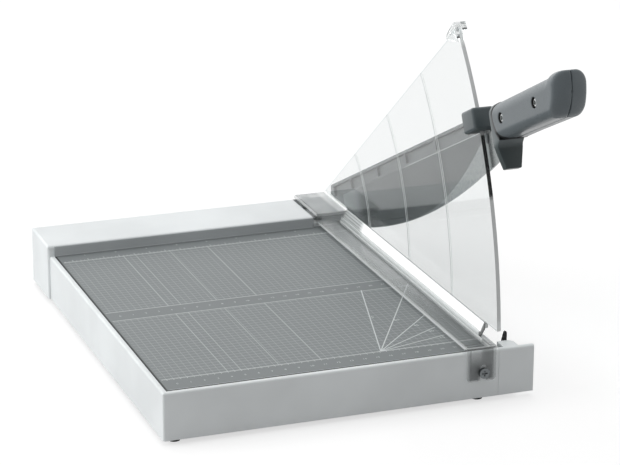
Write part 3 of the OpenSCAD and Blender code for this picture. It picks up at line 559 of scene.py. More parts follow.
class Shader:
    """A node tree under construction, in which every node comes from one method."""

    def __init__(self, owner: bpy.types.Material | bpy.types.World) -> None:
        """Starts an empty tree.

        Args:
            owner: The new material or world that the tree belongs to.
        """
        self.owner = owner
        owner.use_nodes = True
        self.tree = owner.node_tree
        self.tree.nodes.clear()

    def node(
        self, kind: str, settings: dict | None = None, inputs: dict | None = None
    ) -> bpy.types.Node:
        """Adds any node.

        Args:
            kind: The node's type name.
            settings: Its own settings, which are set first.
            inputs: Values or links of its sockets, by name or number.

        Returns:
            The new node.
        """
        node = self.tree.nodes.new(kind)
        for key, value in (settings or {}).items():
            setattr(node, key, value)
        for key, value in (inputs or {}).items():
            value = value.socket if isinstance(value, Value) else value
            if isinstance(value, Socket):
                self.tree.links.new(value, node.inputs[key])
            else:
                node.inputs[key].default_value = value
        return node

    def maths(self, operation: str, *terms: Value | float) -> Value:
        """Adds one Math node that works on its terms in order."""
        made = self.node("ShaderNodeMath", {"operation": operation}, dict(enumerate(terms)))
        return Value(self, made.outputs[0])

    def fact(self, kind: str, output: str) -> Value:
        """What a node without inputs tells about the surface or the ray."""
        return Value(self, self.node(f"ShaderNode{kind}").outputs[output])

    def parts(self, vector: Socket) -> list[Value]:
        """X, Y and Z of a vector."""
        outputs = self.node("ShaderNodeSeparateXYZ", None, {0: vector}).outputs
        return [Value(self, output) for output in outputs]

    def place(self) -> tuple[Value, Value, Value, Socket]:
        """X, Y and Z in corner-frame millimetres, and the same as one vector.

        Returns:
            X, Y and Z as values, and one vector of the three.
        """
        here = self.node("ShaderNodeTexCoord").outputs["Object"]
        for operation, inputs in (("SCALE", {"Scale": 1 / MM}), ("SUBTRACT", {1: tuple(CORNER)})):
            settings = {"operation": operation}
            here = self.node("ShaderNodeVectorMath", settings, {0: here, **inputs}).outputs[0]
        return (*self.parts(here), here)

    def heading(self) -> list[Value]:
        """X, Y and Z of the outward normal, the same when a surface is seen from inside."""
        outward = 1 - self.fact("NewGeometry", "Backfacing") * 2
        normal = self.node("ShaderNodeTexCoord").outputs["Normal"]
        return [part * outward for part in self.parts(normal)]

    def along_arm(self) -> tuple[Value, Value, Value]:
        """X, u and v of the raised arm, in millimetres.

        Returns:
            The three values, the arm frame's turn undone.
        """
        x, y, z, _ = self.place()
        a = math.radians(ARM.angle)
        dy, dz = ARM.pivot_y - y, z - ARM.pivot_z
        return x, dy * math.cos(a) + dz * math.sin(a), dz * math.cos(a) - dy * math.sin(a)

    def vector(self, x: Value | float, y: Value | float, z: Value | float) -> Socket:
        """One vector from three numbers."""
        return self.node("ShaderNodeCombineXYZ", None, {0: x, 1: y, 2: z}).outputs[0]

    def noise(self, where: Socket, scale: float, detail: float = 2.0, rough: float = 0.5) -> Value:
        """Noise from 0 to 1.

        Args:
            where: The place that it varies with.
            scale: Its cells per unit of the place.
            detail: Layers of finer noise on it.
            rough: Share that each finer layer has of the last.

        Returns:
            The noise.
        """
        inputs = {"Vector": where, "Scale": scale, "Detail": detail, "Roughness": rough}
        return Value(self, self.node("ShaderNodeTexNoise", None, inputs).outputs[0])

    def blend(self, factor: Value | float, first: object, second: object) -> Socket:
        """Mixes two colours, each a socket or a linear colour."""
        inputs = {0: factor, 6: first, 7: second}
        return self.node("ShaderNodeMix", {"data_type": "RGBA"}, inputs).outputs[2]

    def either(self, factor: Value, first: Socket, second: Socket) -> Socket:
        """Mixes two surfaces."""
        return self.node("ShaderNodeMixShader", None, {0: factor, 1: first, 2: second}).outputs[0]

    def relief(self, height: Value, depth: float, soft: float) -> Socket:
        """Normal that is bumped by a height, on rounded edges.

        Args:
            height: The height, from 0 to 1.
            depth: Millimetres that 1 stands for.
            soft: Radius of the rounded edges in millimetres, 0 for none.

        Returns:
            The normal.
        """
        inputs: dict = {"Height": height, "Strength": 1.0, "Distance": depth * MM}
        if soft > 0:
            bevel = self.node("ShaderNodeBevel", {"samples": 4}, {"Radius": soft * MM})
            inputs["Normal"] = bevel.outputs[0]
        return self.node("ShaderNodeBump", None, inputs).outputs[0]

    def surface(self, **inputs: object) -> Socket:
        """The main surface shader; a socket's spaces are written as underscores."""
        named = {key.replace("_", " "): value for key, value in inputs.items()}
        return self.node("ShaderNodeBsdfPrincipled", None, named).outputs[0]

    def glow(self, strength: float) -> Socket:
        """White light of its own."""
        inputs = {"Color": WHITE, "Strength": strength}
        return self.node("ShaderNodeEmission", None, inputs).outputs[0]

    def finish(self, surface: Socket, kind: str = "Material") -> bpy.types.ID:
        """Wires the surface to the output and returns the material or world."""
        self.node(f"ShaderNodeOutput{kind}", None, {"Surface": surface})
        return self.owner


@dataclass(frozen=True)
class MouldedPlastic:
    """Opaque moulded plastic with a fine spark-eroded grain and faint clouding."""

    name: str
    colour: Colour
    rough: float = 0.45
    grain: float = 0.02
    cell: float = 2.2
    cloud: float = 0.03
    cloud_cell: float = 0.012
    soft: float = 0.5
    uneven: float = 0.16

    def shaded(self, s: Shader, tone: Socket) -> Socket:
        """The plastic's own colour, on which some parts paint shade in places."""
        return tone

    def material(self) -> bpy.types.Material:
        """Builds the plastic's nodes: clouds and grain in its colour, grain in its gloss.

        Returns:
            The material.
        """
        s = Shader(bpy.data.materials.new(self.name))
        _, _, _, here = s.place()
        clouds = s.noise(here, self.cloud_cell, 3.0)
        grain = s.noise(here, self.cell)
        darker, lighter = (linear(self.colour, 1 + way * self.cloud) for way in (-1, 1))
        tone = s.blend(clouds.step(0.3, 0.7) * 0.8 + grain * 0.2, darker, lighter)
        return s.finish(s.surface(
            Base_Color=self.shaded(s, tone),
            Roughness=self.rough + (grain - 0.5) * self.uneven,
            IOR=PLASTIC_IOR,
            Normal=s.relief(grain, self.grain, self.soft),
        ))


@dataclass(frozen=True)
class GripPlastic(MouldedPlastic):
    """Plastic of the handle, with painted shade inside its sunk screw holes and on its rim at the
    seam.
    """

    # painted shade: the holes' walls and the rim at the seam take the inside colour
    dark_r: float = 3.9
    dark_x: Span = (242.35, 254.0)
    joint: float = 2.7
    inside: Colour = (20, 22, 23)

    def shaded(self, s: Shader, tone: Socket) -> Socket:
        """Paints shade on the plastic where its inner faces lie.

        A hole's walls get painted shade within a radius of its axis below the surface, and so does
        the rim where its depth inside the round seam is small.

        Args:
            s: The shader that the nodes go into.
            tone: The plastic's colour.

        Returns:
            The colour with its painted shade.
        """
        x, u, v = s.along_arm()
        holes = most(*(length(u - place, v - HOLES.v) < self.dark_r for place in HOLES.u))
        depth, ahead = SEAM.depth(u, v, SEAM.gap)
        # painted shade in the screw holes and on the rim at the seam
        dark = (holes * x.within(*self.dark_x)).high((depth < self.joint) * ahead)
        return s.blend(dark, tone, linear(self.inside))


@dataclass(frozen=True)
class CollarPlastic(MouldedPlastic):
    """Plastic of the collar: painted shade on the finger guard, and a painted shade line along the
    round seam.
    """

    # painted shade: a line along the seam, and the finger guard's darker colour below
    joint: Span = (-1.5, 0.3)
    low_v: float = 1.6
    finger_v: Span = (-4.0, 1.4)
    inside: Colour = (28, 32, 33)
    finger: Colour = (56, 66, 67)

    def shaded(self, s: Shader, tone: Socket) -> Socket:
        """Paints shade on the finger guard, and along the seam where its depth inside the seam is
        near 0.

        Args:
            s: The shader that the nodes go into.
            tone: The plastic's colour.

        Returns:
            The colour with its painted shade.
        """
        _, u, v = s.along_arm()
        # painted shade on the finger guard
        tone = s.blend(1 - v.step(*self.finger_v), tone, linear(self.finger))
        # painted shade line along the seam
        depth, ahead = SEAM.depth(u, v)
        joint = depth.within(*self.joint) * (v > self.low_v) * ahead
        return s.blend(joint, tone, linear(self.inside))


@dataclass(frozen=True)
class SatinMetal:
    """Metal with fine grinding marks, drawn out where their stretch is small, and soft edges."""

    name: str
    colour: Colour
    rough: float = 0.34
    metallic: float = 1.0
    stretch: Point = (2.0, 2.0, 2.0)
    depth: float = 0.01
    soft: float = 0.25
    uneven: float = 0.14
    along_arm: bool = False

    def material(self) -> bpy.types.Material:
        """Builds the metal's nodes; the marks are noise on the stretched place.

        Returns:
            The material.
        """
        s = Shader(bpy.data.materials.new(self.name))
        axes = s.along_arm() if self.along_arm else s.place()[:3]
        here = s.vector(*(axis * factor for axis, factor in zip(axes, self.stretch)))
        marks = s.noise(here, 1.0, 3.0, 0.6)
        clouds = s.noise(here, 0.05)
        dull, bright = linear(self.colour, 0.9), linear(self.colour, 1.06)
        return s.finish(s.surface(
            Base_Color=s.blend(marks * 0.6 + clouds * 0.4, dull, bright),
            Metallic=self.metallic,
            Roughness=self.rough + (marks - 0.5) * self.uneven,
            Normal=s.relief(marks, self.depth, self.soft),
        ))


@dataclass(frozen=True)
class GroundBlade:
    """Blade steel: satin flat, lighter ground bevel that follows the curved edge, painted top-edge
    highlight.
    """

    name: str = "ground_blade"
    flat: Colour = (90, 95, 96)
    bevel: Colour = (152, 157, 157)
    # painted highlight along the blade's top edge, in this colour
    bright: Colour = (205, 209, 209)
    # lighter tone near the blade's front end
    clean: Colour = (178, 182, 182)
    clean_u: Span = (332.0, 342.0)
    rear: Colour = (166, 170, 171)
    rear_u: Span = (52.0, 78.0)
    top_line: Span = (15.35, 16.1)
    top_u: Span = (150.0, 200.0)
    radius: float = 800.0
    low_u: float = 188.0
    low_v: float = -26.0
    widens_from: float = 190.0
    widening: float = 0.00107
    narrowest: float = 0.6
    fade: float = 0.25
    flat_cells: Span = (0.05, 2.5)
    bevel_cells: Span = (3.0, 0.3)
    cloud_cells: Span = (0.012, 0.03)
    metallic: float = 0.75
    rough: float = 0.38
    depth: float = 0.006

    def material(self) -> bpy.types.Material:
        """Builds the blade's nodes.

        The distance from the edge is the edge's radius less the distance from its centre; the
        bevel is where that is small, with grinding marks square to the edge. Its width grows
        with the square of the way ahead of the blade's lowest point.

        Returns:
            The material.
        """
        s = Shader(bpy.data.materials.new(self.name))
        x, u, v = s.along_arm()
        inside = self.radius - length(u - self.low_u, v - (self.low_v + self.radius))
        ahead = (u - self.widens_from).high(0.0)
        width = ahead * ahead * self.widening + self.narrowest
        on_bevel = 1 - (inside - width).step(-self.fade, self.fade)
        flat_at, bevel_at, cloud_at = (
            (u * along, v * across)
            for along, across in (self.flat_cells, self.bevel_cells, self.cloud_cells)
        )
        flat_marks = s.noise(s.vector(x, *flat_at), 1.0, 3.0, 0.6)
        bevel_marks = s.noise(s.vector(x, *bevel_at), 1.0, 2.0, 0.6)
        clouds = s.noise(s.vector(0.0, *cloud_at), 1.0)
        # painted highlight along the blade's top edge
        top_edge = v.within(*self.top_line) * u.step(*self.top_u)
        mottle = clouds * 0.6 + flat_marks * 0.4
        flat = s.blend(mottle, linear(self.flat, 0.93), linear(self.flat, 1.05))
        flat = s.blend(u.step(*self.clean_u), flat, linear(self.clean))
        flat = s.blend(1 - u.step(*self.rear_u), flat, linear(self.rear))
        bevel = s.blend(bevel_marks, linear(self.bevel, 0.95), linear(self.bevel, 1.05))
        marks = flat_marks * (1 - on_bevel) + bevel_marks * on_bevel
        return s.finish(s.surface(
            Base_Color=s.blend(top_edge, s.blend(on_bevel, flat, bevel), linear(self.bright)),
            Metallic=self.metallic,
            Roughness=self.rough - on_bevel * 0.1 + (marks - 0.5) * 0.12,
            Normal=s.relief(marks, self.depth, 0.0),
        ))


class ClearPart(Enum):
    """The thick clear parts, which differ in where their cut edges lie."""

    GUARD = "guard"
    CLIP = "clip"


@dataclass(frozen=True)
class ClearPlastic:
    """Clear acrylic that bends light, polished on its faces and a little frosted where it is cut.

    Shadow rays pass it, so that what lies under it stays lit. The guard's slope to the rear is
    frosted from outside, and seen through from inside, where it would mirror the dark arm.
    """

    name: str
    part: ClearPart
    tint: Colour = (238, 240, 240)
    shade: Colour = (236, 240, 240)
    frost: Colour = (236, 239, 239)
    haze: float = 0.01
    bend: float = ACRYLIC_IOR
    rim_density: float = 0.8
    flat_to_rim: Span = (0.35, 0.9)
    to_rear: Span = (0.3, 0.4)
    clip_to_rear: Span = (0.1, 0.3)
    polished: Span = (20.5, 27.6)
    arcs: tuple[float, ...] = ()
    arc_width: float = 0.9
    arc_density: float = 0.8

    def rims(self, y: Value, z: Value, heading: list[Value]) -> Value:
        """Where the plastic is cut: 1 on its rims, 0 on its polished faces.

        A rim faces away from X. The clip's rims to the rear are polished, and so is a stretch
        of the guard's front edge, by its angle about the arm's pivot.

        Args:
            y: Place to the rear.
            z: Height.
            heading: The surface's outward normal.

        Returns:
            The rim mask.
        """
        rim = 1 - abs(heading[0]).step(*self.flat_to_rim)
        if self.part is ClearPart.CLIP:
            return rim * (1 - heading[1].step(*self.clip_to_rear))
        turned = (z - ARM.pivot_z).maths("ARCTAN2", ARM.pivot_y - y) * (180 / math.pi)
        low, high = self.polished
        along_front = turned.step(low - 1.0, low) * (1 - turned.step(high, high + 0.3))
        return rim * (1 - along_front * (1 - heading[1].step(*self.to_rear)))

    def material(self) -> bpy.types.Material:
        """Builds the clear plastic's nodes; the arcs are rings round the arm's pivot.

        Returns:
            The material.
        """
        s = Shader(bpy.data.materials.new(self.name))
        _, y, z, here = s.place()
        heading = s.heading()
        smears = s.noise(here, 0.03, 3.0).step(0.45, 0.8)
        hazy = smears * self.haze + self.haze * 0.5
        cloudy = hazy.high(self.rims(y, z, heading) * self.rim_density)
        if self.arcs:
            reach = length(y - ARM.pivot_y, z - ARM.pivot_z)
            rings = (reach.line(r, self.arc_width) * self.arc_density for r in self.arcs)
            cloudy = most(cloudy, *rings)
        clear = s.surface(
            Base_Color=linear(self.tint), Roughness=0.0, IOR=self.bend, Transmission_Weight=1.0
        )
        body = s.surface(Base_Color=linear(self.frost), Roughness=0.4, IOR=ACRYLIC_IOR)
        passing = s.node("ShaderNodeBsdfTransparent", None, {"Color": linear(self.shade)})
        straight = s.fact("LightPath", "Is Shadow Ray")
        if self.part is ClearPart.GUARD:
            slope_within = heading[1].step(*self.to_rear) * s.fact("NewGeometry", "Backfacing")
            straight = straight.high(slope_within)
        return s.finish(s.either(straight, s.either(cloudy, clear, body), passing.outputs[0]))


@dataclass(frozen=True)
class Look:
    """A look of thin clear plastic: its colour and how much it hides."""

    colour: Colour
    density: float


Layers = list[tuple[Value, Look]]
# painted highlight on the clear parts' edges
EDGE_HIGHLIGHT: Colour = (238, 241, 241)
# painted shade on the clear parts' edges
EDGE_SHADE: Colour = (60, 64, 64)
NEAR_WHITE: Colour = (240, 243, 243)


@dataclass(frozen=True)
class ThinClear:
    """Thin clear plastic, which hides a little of what is under it and has painted highlight and
    shade lines on its edges.
    """

    name: str
    base: Look
    rough: float = 0.12
    # light of its own, which the web takes as painted light
    glow: float = 0.0

    def layers(self, x: Value, y: Value, z: Value, heading: list[Value]) -> Layers:
        """The part's own lines and shades, later ones over earlier ones.

        Args:
            x: Place to the right; not used.
            y: Place to the rear; not used.
            z: Height; not used.
            heading: The surface's outward normal; not used.

        Returns:
            Each layer's mask and look.
        """
        return []

    def material(self) -> bpy.types.Material:
        """Builds the nodes: colour and density run through the layers, and light smears.

        Returns:
            The material.
        """
        s = Shader(bpy.data.materials.new(self.name))
        x, y, z, here = s.place()
        colour, density = linear(self.base.colour), self.base.density
        for mask, look in self.layers(x, y, z, s.heading()):
            colour = s.blend(mask, colour, linear(look.colour))
            density = density + mask * (look.density - density)
        smears = s.noise(here, 0.04, 3.0)
        return s.finish(s.surface(
            Base_Color=colour,
            Roughness=self.rough + (smears - 0.5) * 0.1,
            IOR=ACRYLIC_IOR,
            Alpha=density * (0.92 + smears * 0.16),
            Emission_Color=colour,
            Emission_Strength=self.glow,
        ))


@dataclass(frozen=True)
class ClearFlange(ThinClear):
    """Flange over the board: paler to the rear, painted shade and highlight lines by the web and
    edges.
    """

    name: str = "clear_flange"
    base: Look = Look((104, 110, 110), 0.1)
    milky: Look = Look((216, 220, 220), 0.36)
    milky_y: Span = (0.0, 200.0)
    # painted shade on the front edge's bevels
    bevel: Look = Look(EDGE_SHADE, 0.5)
    bevels_y: tuple[Span, Span] = ((3.4, 4.6), (-0.9, -0.2))
    # painted shade line beside the raised line
    groove: Look = Look((92, 97, 97), 0.24)
    groove_x: Span = (240.8, 243.3)
    # painted highlight on the raised line
    ridge: Look = Look(NEAR_WHITE, 0.5)
    ridge_x: Span = (243.3, 245.0)
    # painted shade line beside the web
    inner_groove: Look = Look((74, 79, 79), 0.36)
    inner_groove_x: Span = (245.3, 246.4)
    # painted highlights on the left edge and on the cut edges
    side: Look = Look(EDGE_HIGHLIGHT, 0.42)
    side_x: float = 228.0
    edge: Look = Look(EDGE_HIGHLIGHT, 0.55)
    # painted shade on the front edge
    front: Look = Look(EDGE_SHADE, 0.6)
    front_y: float = -1.0
    front_z: Span = (3.0, 4.0)

    def layers(self, x: Value, y: Value, z: Value, heading: list[Value]) -> Layers:
        """Paleness to the rear, and painted shade and highlight lines on the edges and beside the
        web.

        Args:
            x: Place to the right.
            y: Place to the rear.
            z: Height.
            heading: The surface's outward normal.

        Returns:
            Each layer's mask and look.
        """
        return [
            (y.step(*self.milky_y), self.milky),
            (most(*(y.within(*span) for span in self.bevels_y)), self.bevel),
            (x.within(*self.groove_x), self.groove),
            (x.within(*self.ridge_x), self.ridge),
            (x.within(*self.inner_groove_x), self.inner_groove),
            (x < self.side_x, self.side),
            (1 - abs(heading[2]).step(0.5, 0.9), self.edge),
            ((y < self.front_y) * z.within(*self.front_z), self.front),
        ]


@dataclass(frozen=True)
class ClearWeb(ThinClear):
    """Sloping web: near-white painted reflection with a glow, up to its dark top line, clearer
    towards the rear.
    """

    name: str = "clear_web"
    # painted reflection and glow: the near-white film and its own light
    base: Look = Look((252, 253, 253), 0.93)
    glow: float = 0.18
    rear: Look = Look((214, 218, 218), 0.5)
    rear_y: float = 262.0
    fade: float = 6.0
    fine: Look = Look((120, 125, 125), 0.5)
    fine_z: Point = (8.2, 2.1, 0.5)
    foot: Look = Look((216, 220, 220), 0.6)
    foot_x: float = 247.3
    foot_line: Look = Look((92, 97, 97), 0.6)
    foot_line_width: float = 0.45
    top: Look = Look((112, 117, 117), 0.6)
    top_z: float = 13.7
    front: Look = Look((58, 62, 62), 0.8)
    front_y: float = 21.0

    def layers(self, x: Value, y: Value, z: Value, heading: list[Value]) -> Layers:
        """Clearer rear stretch with fine long lines, ridge at the foot, dark top and front.

        Args:
            x: Place to the right.
            y: Place to the rear.
            z: Height.
            heading: The surface's outward normal; not used.

        Returns:
            Each layer's mask and look.
        """
        rear, fade = self.rear_y, self.fade
        return [
            (y.step(rear - fade, rear + fade), self.rear),
            (z.lines(*self.fine_z) * y.step(rear - fade / 2, rear + fade), self.fine),
            (x < self.foot_x, self.foot),
            (x.line(self.foot_x, self.foot_line_width), self.foot_line),
            (z > self.top_z, self.top),
            (y < self.front_y, self.front),
        ]


@dataclass(frozen=True)
class ClearLeg(ThinClear):
    """Forked leg: painted shade towards its foot and on its right, lighter along its sides."""

    name: str = "clear_leg"
    base: Look = Look((80, 86, 88), 0.1)
    # painted shade towards the foot
    low: Look = Look((66, 72, 74), 0.32)
    low_z: Span = (-13.0, 0.0)
    # painted shade on the right
    right: Look = Look((70, 76, 78), 0.26)
    right_x: Span = (238.0, 241.0)
    right_z: Span = (-11.0, -7.0)
    side: Look = Look((120, 126, 128), 0.14)
    sides_x: Span = (230.4, 248.0)
    line: Look = Look((96, 101, 102), 0.4)
    line_width: float = 0.5
    # painted highlights on the cut edges and the ends
    edge: Look = Look(EDGE_HIGHLIGHT, 0.28)
    slot_x: Span = (234.0, 247.0)
    slot_z: float = -2.0
    end: Look = Look(EDGE_HIGHLIGHT, 0.4)
    ends_z: Span = (-21.3, 3.0)

    def layers(self, x: Value, y: Value, z: Value, heading: list[Value]) -> Layers:
        """Painted shade down the leg, clearer side strips, and painted highlights on cut edges but
        for the slot's.

        Args:
            x: Place to the right.
            y: Place to the rear; not used.
            z: Height.
            heading: The surface's outward normal.

        Returns:
            Each layer's mask and look.
        """
        left, right = self.sides_x
        low, high = self.ends_z
        cut = 1 - abs(heading[1]).step(0.5, 0.85)
        return [
            (1 - z.step(*self.low_z), self.low),
            (x.step(*self.right_x) * z.step(*self.right_z), self.right),
            ((x < left).high(x > right), self.side),
            (most(*(x.line(place, self.line_width) for place in self.sides_x)), self.line),
            (cut * (1 - x.within(*self.slot_x) * (z < self.slot_z)), self.edge),
            ((z < low).high(z > high), self.end),
        ]


@dataclass(frozen=True)
class ClearFoot(ThinClear):
    """Rear foot: grey clear plate, paler towards the web, with painted highlight and shade lines on
    its edges.
    """

    name: str = "clear_foot"
    base: Look = Look((200, 205, 206), 0.62)
    milky: Look = Look(NEAR_WHITE, 0.75)
    milky_x: Span = (241.0, 245.0)
    # painted shade line and painted highlight on the left edge, painted highlight on the front
    # edge, painted shade on the lower edge
    line: Look = Look((84, 89, 90), 0.4)
    line_x: Span = (224.8, 0.6)
    side: Look = Look(EDGE_HIGHLIGHT, 0.5)
    side_x: float = 224.4
    front: Look = Look(EDGE_HIGHLIGHT, 0.4)
    front_y: float = 299.6
    low: Look = Look(EDGE_SHADE, 0.4)
    low_z: float = 10.3
    under: Look = Look((150, 155, 155), 0.1)
    under_z: float = 9.7
    upright: Look = Look((252, 253, 253), 0.9)
    upright_z: float = 12.85

    def layers(self, x: Value, y: Value, z: Value, heading: list[Value]) -> Layers:
        """Paler side and near-white upright, painted highlight and shade lines on the front, lower
        and left edges.

        Args:
            x: Place to the right.
            y: Place to the rear.
            z: Height.
            heading: The surface's outward normal; not used.

        Returns:
            Each layer's mask and look.
        """
        return [
            (x.step(*self.milky_x), self.milky),
            (x.line(*self.line_x), self.line),
            (x < self.side_x, self.side),
            (y < self.front_y, self.front),
            (z < self.low_z, self.low),
            (z < self.under_z, self.under),
            (z > self.upright_z, self.upright),
        ]


@dataclass(frozen=True)
class BoardPrint:
    """Grey cutting board printed with a fine grid, two rulers, format lines and angle rays."""

    name: str = "board_print"
    ground: Colour = (128, 133, 134)
    ink: Colour = (208, 213, 213)
    # painted shade where the board meets the walls
    gap: Colour = (52, 55, 55)
    gap_to: float = 5.1
    left: float = 6.5
    band_half: float = 9.0
    edge_line: float = 5.6
    ink_from_z: float = -0.4
    format_lines: tuple[float, ...] = (55.5, 65.2, 93.7, 125.6)
    format_width: float = 0.55
    format_ink: float = 0.55
    rays_at: Span = (171.4, 24.9)
    rays: tuple[Span, ...] = (
        (0.0, 57.6), (15.0, 58.0), (30.0, 64.5), (45.0, 82.0), (60.0, 145.0), (75.0, 128.5),
    )
    ray_width: float = 0.85

    def grid(self, x: Value, y: Value) -> Value:
        """Millimetre grid with stronger fives, and format lines, between the rulers.

        Args:
            x: Place to the right.
            y: Place to the rear.

        Returns:
            How much of its ink lies there.
        """
        x0, front, band, half = RULED.cm_x0, RULED.front, RULED.band, self.band_half
        free = y.within(front, RULED.rear) * (1 - y.within(band - half, band + half))
        ones = x.lines(x0, 1.0, 0.16).high(y.lines(front, 1.0, 0.2)) * 0.1
        fives = (x.lines(x0, 5.0, 0.42) * 0.34).high(y.lines(front, 5.0, 0.5) * 0.4)
        formats = most(*(x.line(place, self.format_width) for place in self.format_lines))
        return most(ones, fives, formats * self.format_ink) * (free * (x > self.left))

    def rulers(self, x: Value, y: Value) -> Value:
        """Long lines of the rulers, and their ticks in centimetres and inches.

        Args:
            x: Place to the right.
            y: Place to the rear.

        Returns:
            How much of their ink lies there.
        """
        x0, inch_x0, front, rear = RULED.cm_x0, RULED.inch_x0, RULED.front, RULED.rear
        return most(
            y.line(front, 0.8), y.line(RULED.band - self.band_half, 0.7),
            y.line(RULED.band + self.band_half, 0.7), y.line(rear, 0.8),
            y.line(self.edge_line, 0.5) * 0.6,
            x.lines(inch_x0, RULED.inch / 8, 0.4) * y.within(rear, rear + 2.0),
            x.lines(inch_x0, RULED.inch / 2, 0.45) * y.within(rear, rear + 4.0),
            x.lines(x0, 5.0, 0.4) * y.within(front - 2.5, front),
            x.lines(x0, 1.0, 0.25) * y.within(front - 1.5, front) * 0.7,
        ) * 0.9 * (x > self.left)

    def ray(self, x: Value, y: Value, angle: float, reach: float) -> Value:
        """One angle ray: near 0 aside of its direction, and within its reach along it.

        Args:
            x: Place to the right.
            y: Place to the rear.
            angle: The ray's angle in degrees.
            reach: Its length.

        Returns:
            1 on the ray, 0 elsewhere.
        """
        a = math.radians(angle)
        du, dv = x - self.rays_at[0], y - self.rays_at[1]
        along = du * math.cos(a) + dv * math.sin(a)
        aside = dv * math.cos(a) - du * math.sin(a)
        return aside.line(0.0, self.ray_width) * along.within(0.0, reach)

    def material(self) -> bpy.types.Material:
        """Builds the print: each line is where a coordinate lies within half its width of it.

        Returns:
            The material, with painted shade along the board's left and front edges, where the walls
            meet it.
        """
        s = Shader(bpy.data.materials.new(self.name))
        x, y, z, here = s.place()
        grain = s.noise(here, 3.0)
        wear = s.noise(here, 0.02, 3.0)
        rays = (self.ray(x, y, *ray) for ray in self.rays)
        ink = most(self.grid(x, y), self.rulers(x, y), *rays) * (z > self.ink_from_z)
        worn = wear * 0.7 + grain * 0.3
        ground = s.blend(worn, linear(self.ground, 0.97), linear(self.ground, 1.03))
        printed = s.blend(ink, ground, linear(self.ink))
        # painted shade along the board's left and front edges
        edge = (x < self.gap_to).high(y < self.gap_to)
        return s.finish(s.surface(
            Base_Color=s.blend(edge, printed, linear(self.gap)),
            Roughness=0.55 + (grain - 0.5) * 0.1,
            IOR=PLASTIC_IOR,
            Normal=s.relief(grain, 0.012, 0.0),
        ))


class Finishes:
    """All the finishes of the cutter, made once."""

    def __init__(self) -> None:
        """Builds every material."""
        plastic, metal = MouldedPlastic, SatinMetal
        self.light = plastic("light_plastic", (234, 238, 239)).material()
        self.stop = plastic("stop_plastic", (178, 183, 185), rough=0.5).material()
        self.dark = plastic("dark_plastic", (80, 89, 92), rough=0.3).material()
        self.collar = CollarPlastic("collar_plastic", (86, 95, 97), rough=0.3).material()
        self.grip = GripPlastic(
            "grip_plastic", (101, 109, 113), rough=0.3, cell=1.6, grain=0.03
        ).material()
        self.rubber = plastic("black_rubber", (42, 43, 44), rough=0.75, grain=0.04).material()
        self.sheet = plastic("dark_sheet", (88, 91, 93), rough=0.5).material()
        self.board = BoardPrint().material()
        self.numerals = plastic(
            "printed_numerals", (204, 210, 210), rough=0.5, soft=0.0
        ).material()
        self.cast = metal(
            "arm_metal", (118, 122, 123), 0.42, 0.55, stretch=(1.0, 1.0, 1.0), along_arm=True
        ).material()
        self.blade = GroundBlade().material()
        self.steel = metal("counter_steel", (176, 179, 180), stretch=(1.0, 0.06, 2.0)).material()
        self.zinc = metal("zinc_steel", (190, 192, 190), 0.3).material()
        self.nickel = metal("nickel_steel", (205, 208, 208), 0.25).material()
        self.burnished = metal("burnished_steel", (112, 116, 118), 0.36).material()
        self.brass = metal("bearing_brass", (181, 152, 96), 0.35).material()
        self.guard = ClearPlastic(
            "clear_guard", ClearPart.GUARD, bend=1.3, arcs=(253.0, 170.0, 87.0)
        ).material()
        self.flange = ClearFlange().material()
        self.web = ClearWeb().material()
        self.leg = ClearLeg().material()
        self.foot = ClearFoot().material()
        self.clip = ClearPlastic(
            "clear_clip", ClearPart.CLIP, haze=0.02, rim_density=0.12
        ).material()


# ---------------------------------------------------------------- the cutter


@dataclass
class Part:
    """A sub-assembly of the cutter, which takes its finishes from the common set."""

    finishes: Finishes

    def build(self) -> list[bpy.types.Object]:
        """Makes the part's pieces."""
        raise NotImplementedError


@dataclass
class CarriedNodes(Part):
    """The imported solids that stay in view, each with its finish."""

    def build(self) -> list[bpy.types.Object]:
        """Gives each carried node its material.

        Returns:
            The nodes that were dressed.
        """
        f = self.finishes
        table = {
            f.light: ("base_tray", "end_block", "rear_housing"),
            f.board: ("cutting_board",),
            f.steel: ("counter_edge", "pivot_plate", "return_springs", "disc_spring"),
            f.zinc: (
                "end_block_screw", "counter_edge_screws", "housing_screws", "bottom_screws",
                "pivot_bolt", "lock_nut", "clamp_guide_pins", "guide_block_screw",
            ),
            f.burnished: ("clamp_screw", "blade_screws"),
            f.brass: ("thrust_washer", "pivot_bush"),
            f.sheet: ("bottom_plate",),
            f.rubber: ("feet",),
            f.guard: ("guard_fan",),
            f.clip: ("guard_stop_clip",),
            f.blade: ("blade",),
            f.cast: ("arm_casting",),
        }
        dressed = []
        for finish, names in table.items():
            for name in names:
                node = bpy.data.objects[name]
                node.data.materials.clear()
                node.data.materials.append(finish)
                dressed.append(node)
        return dressed


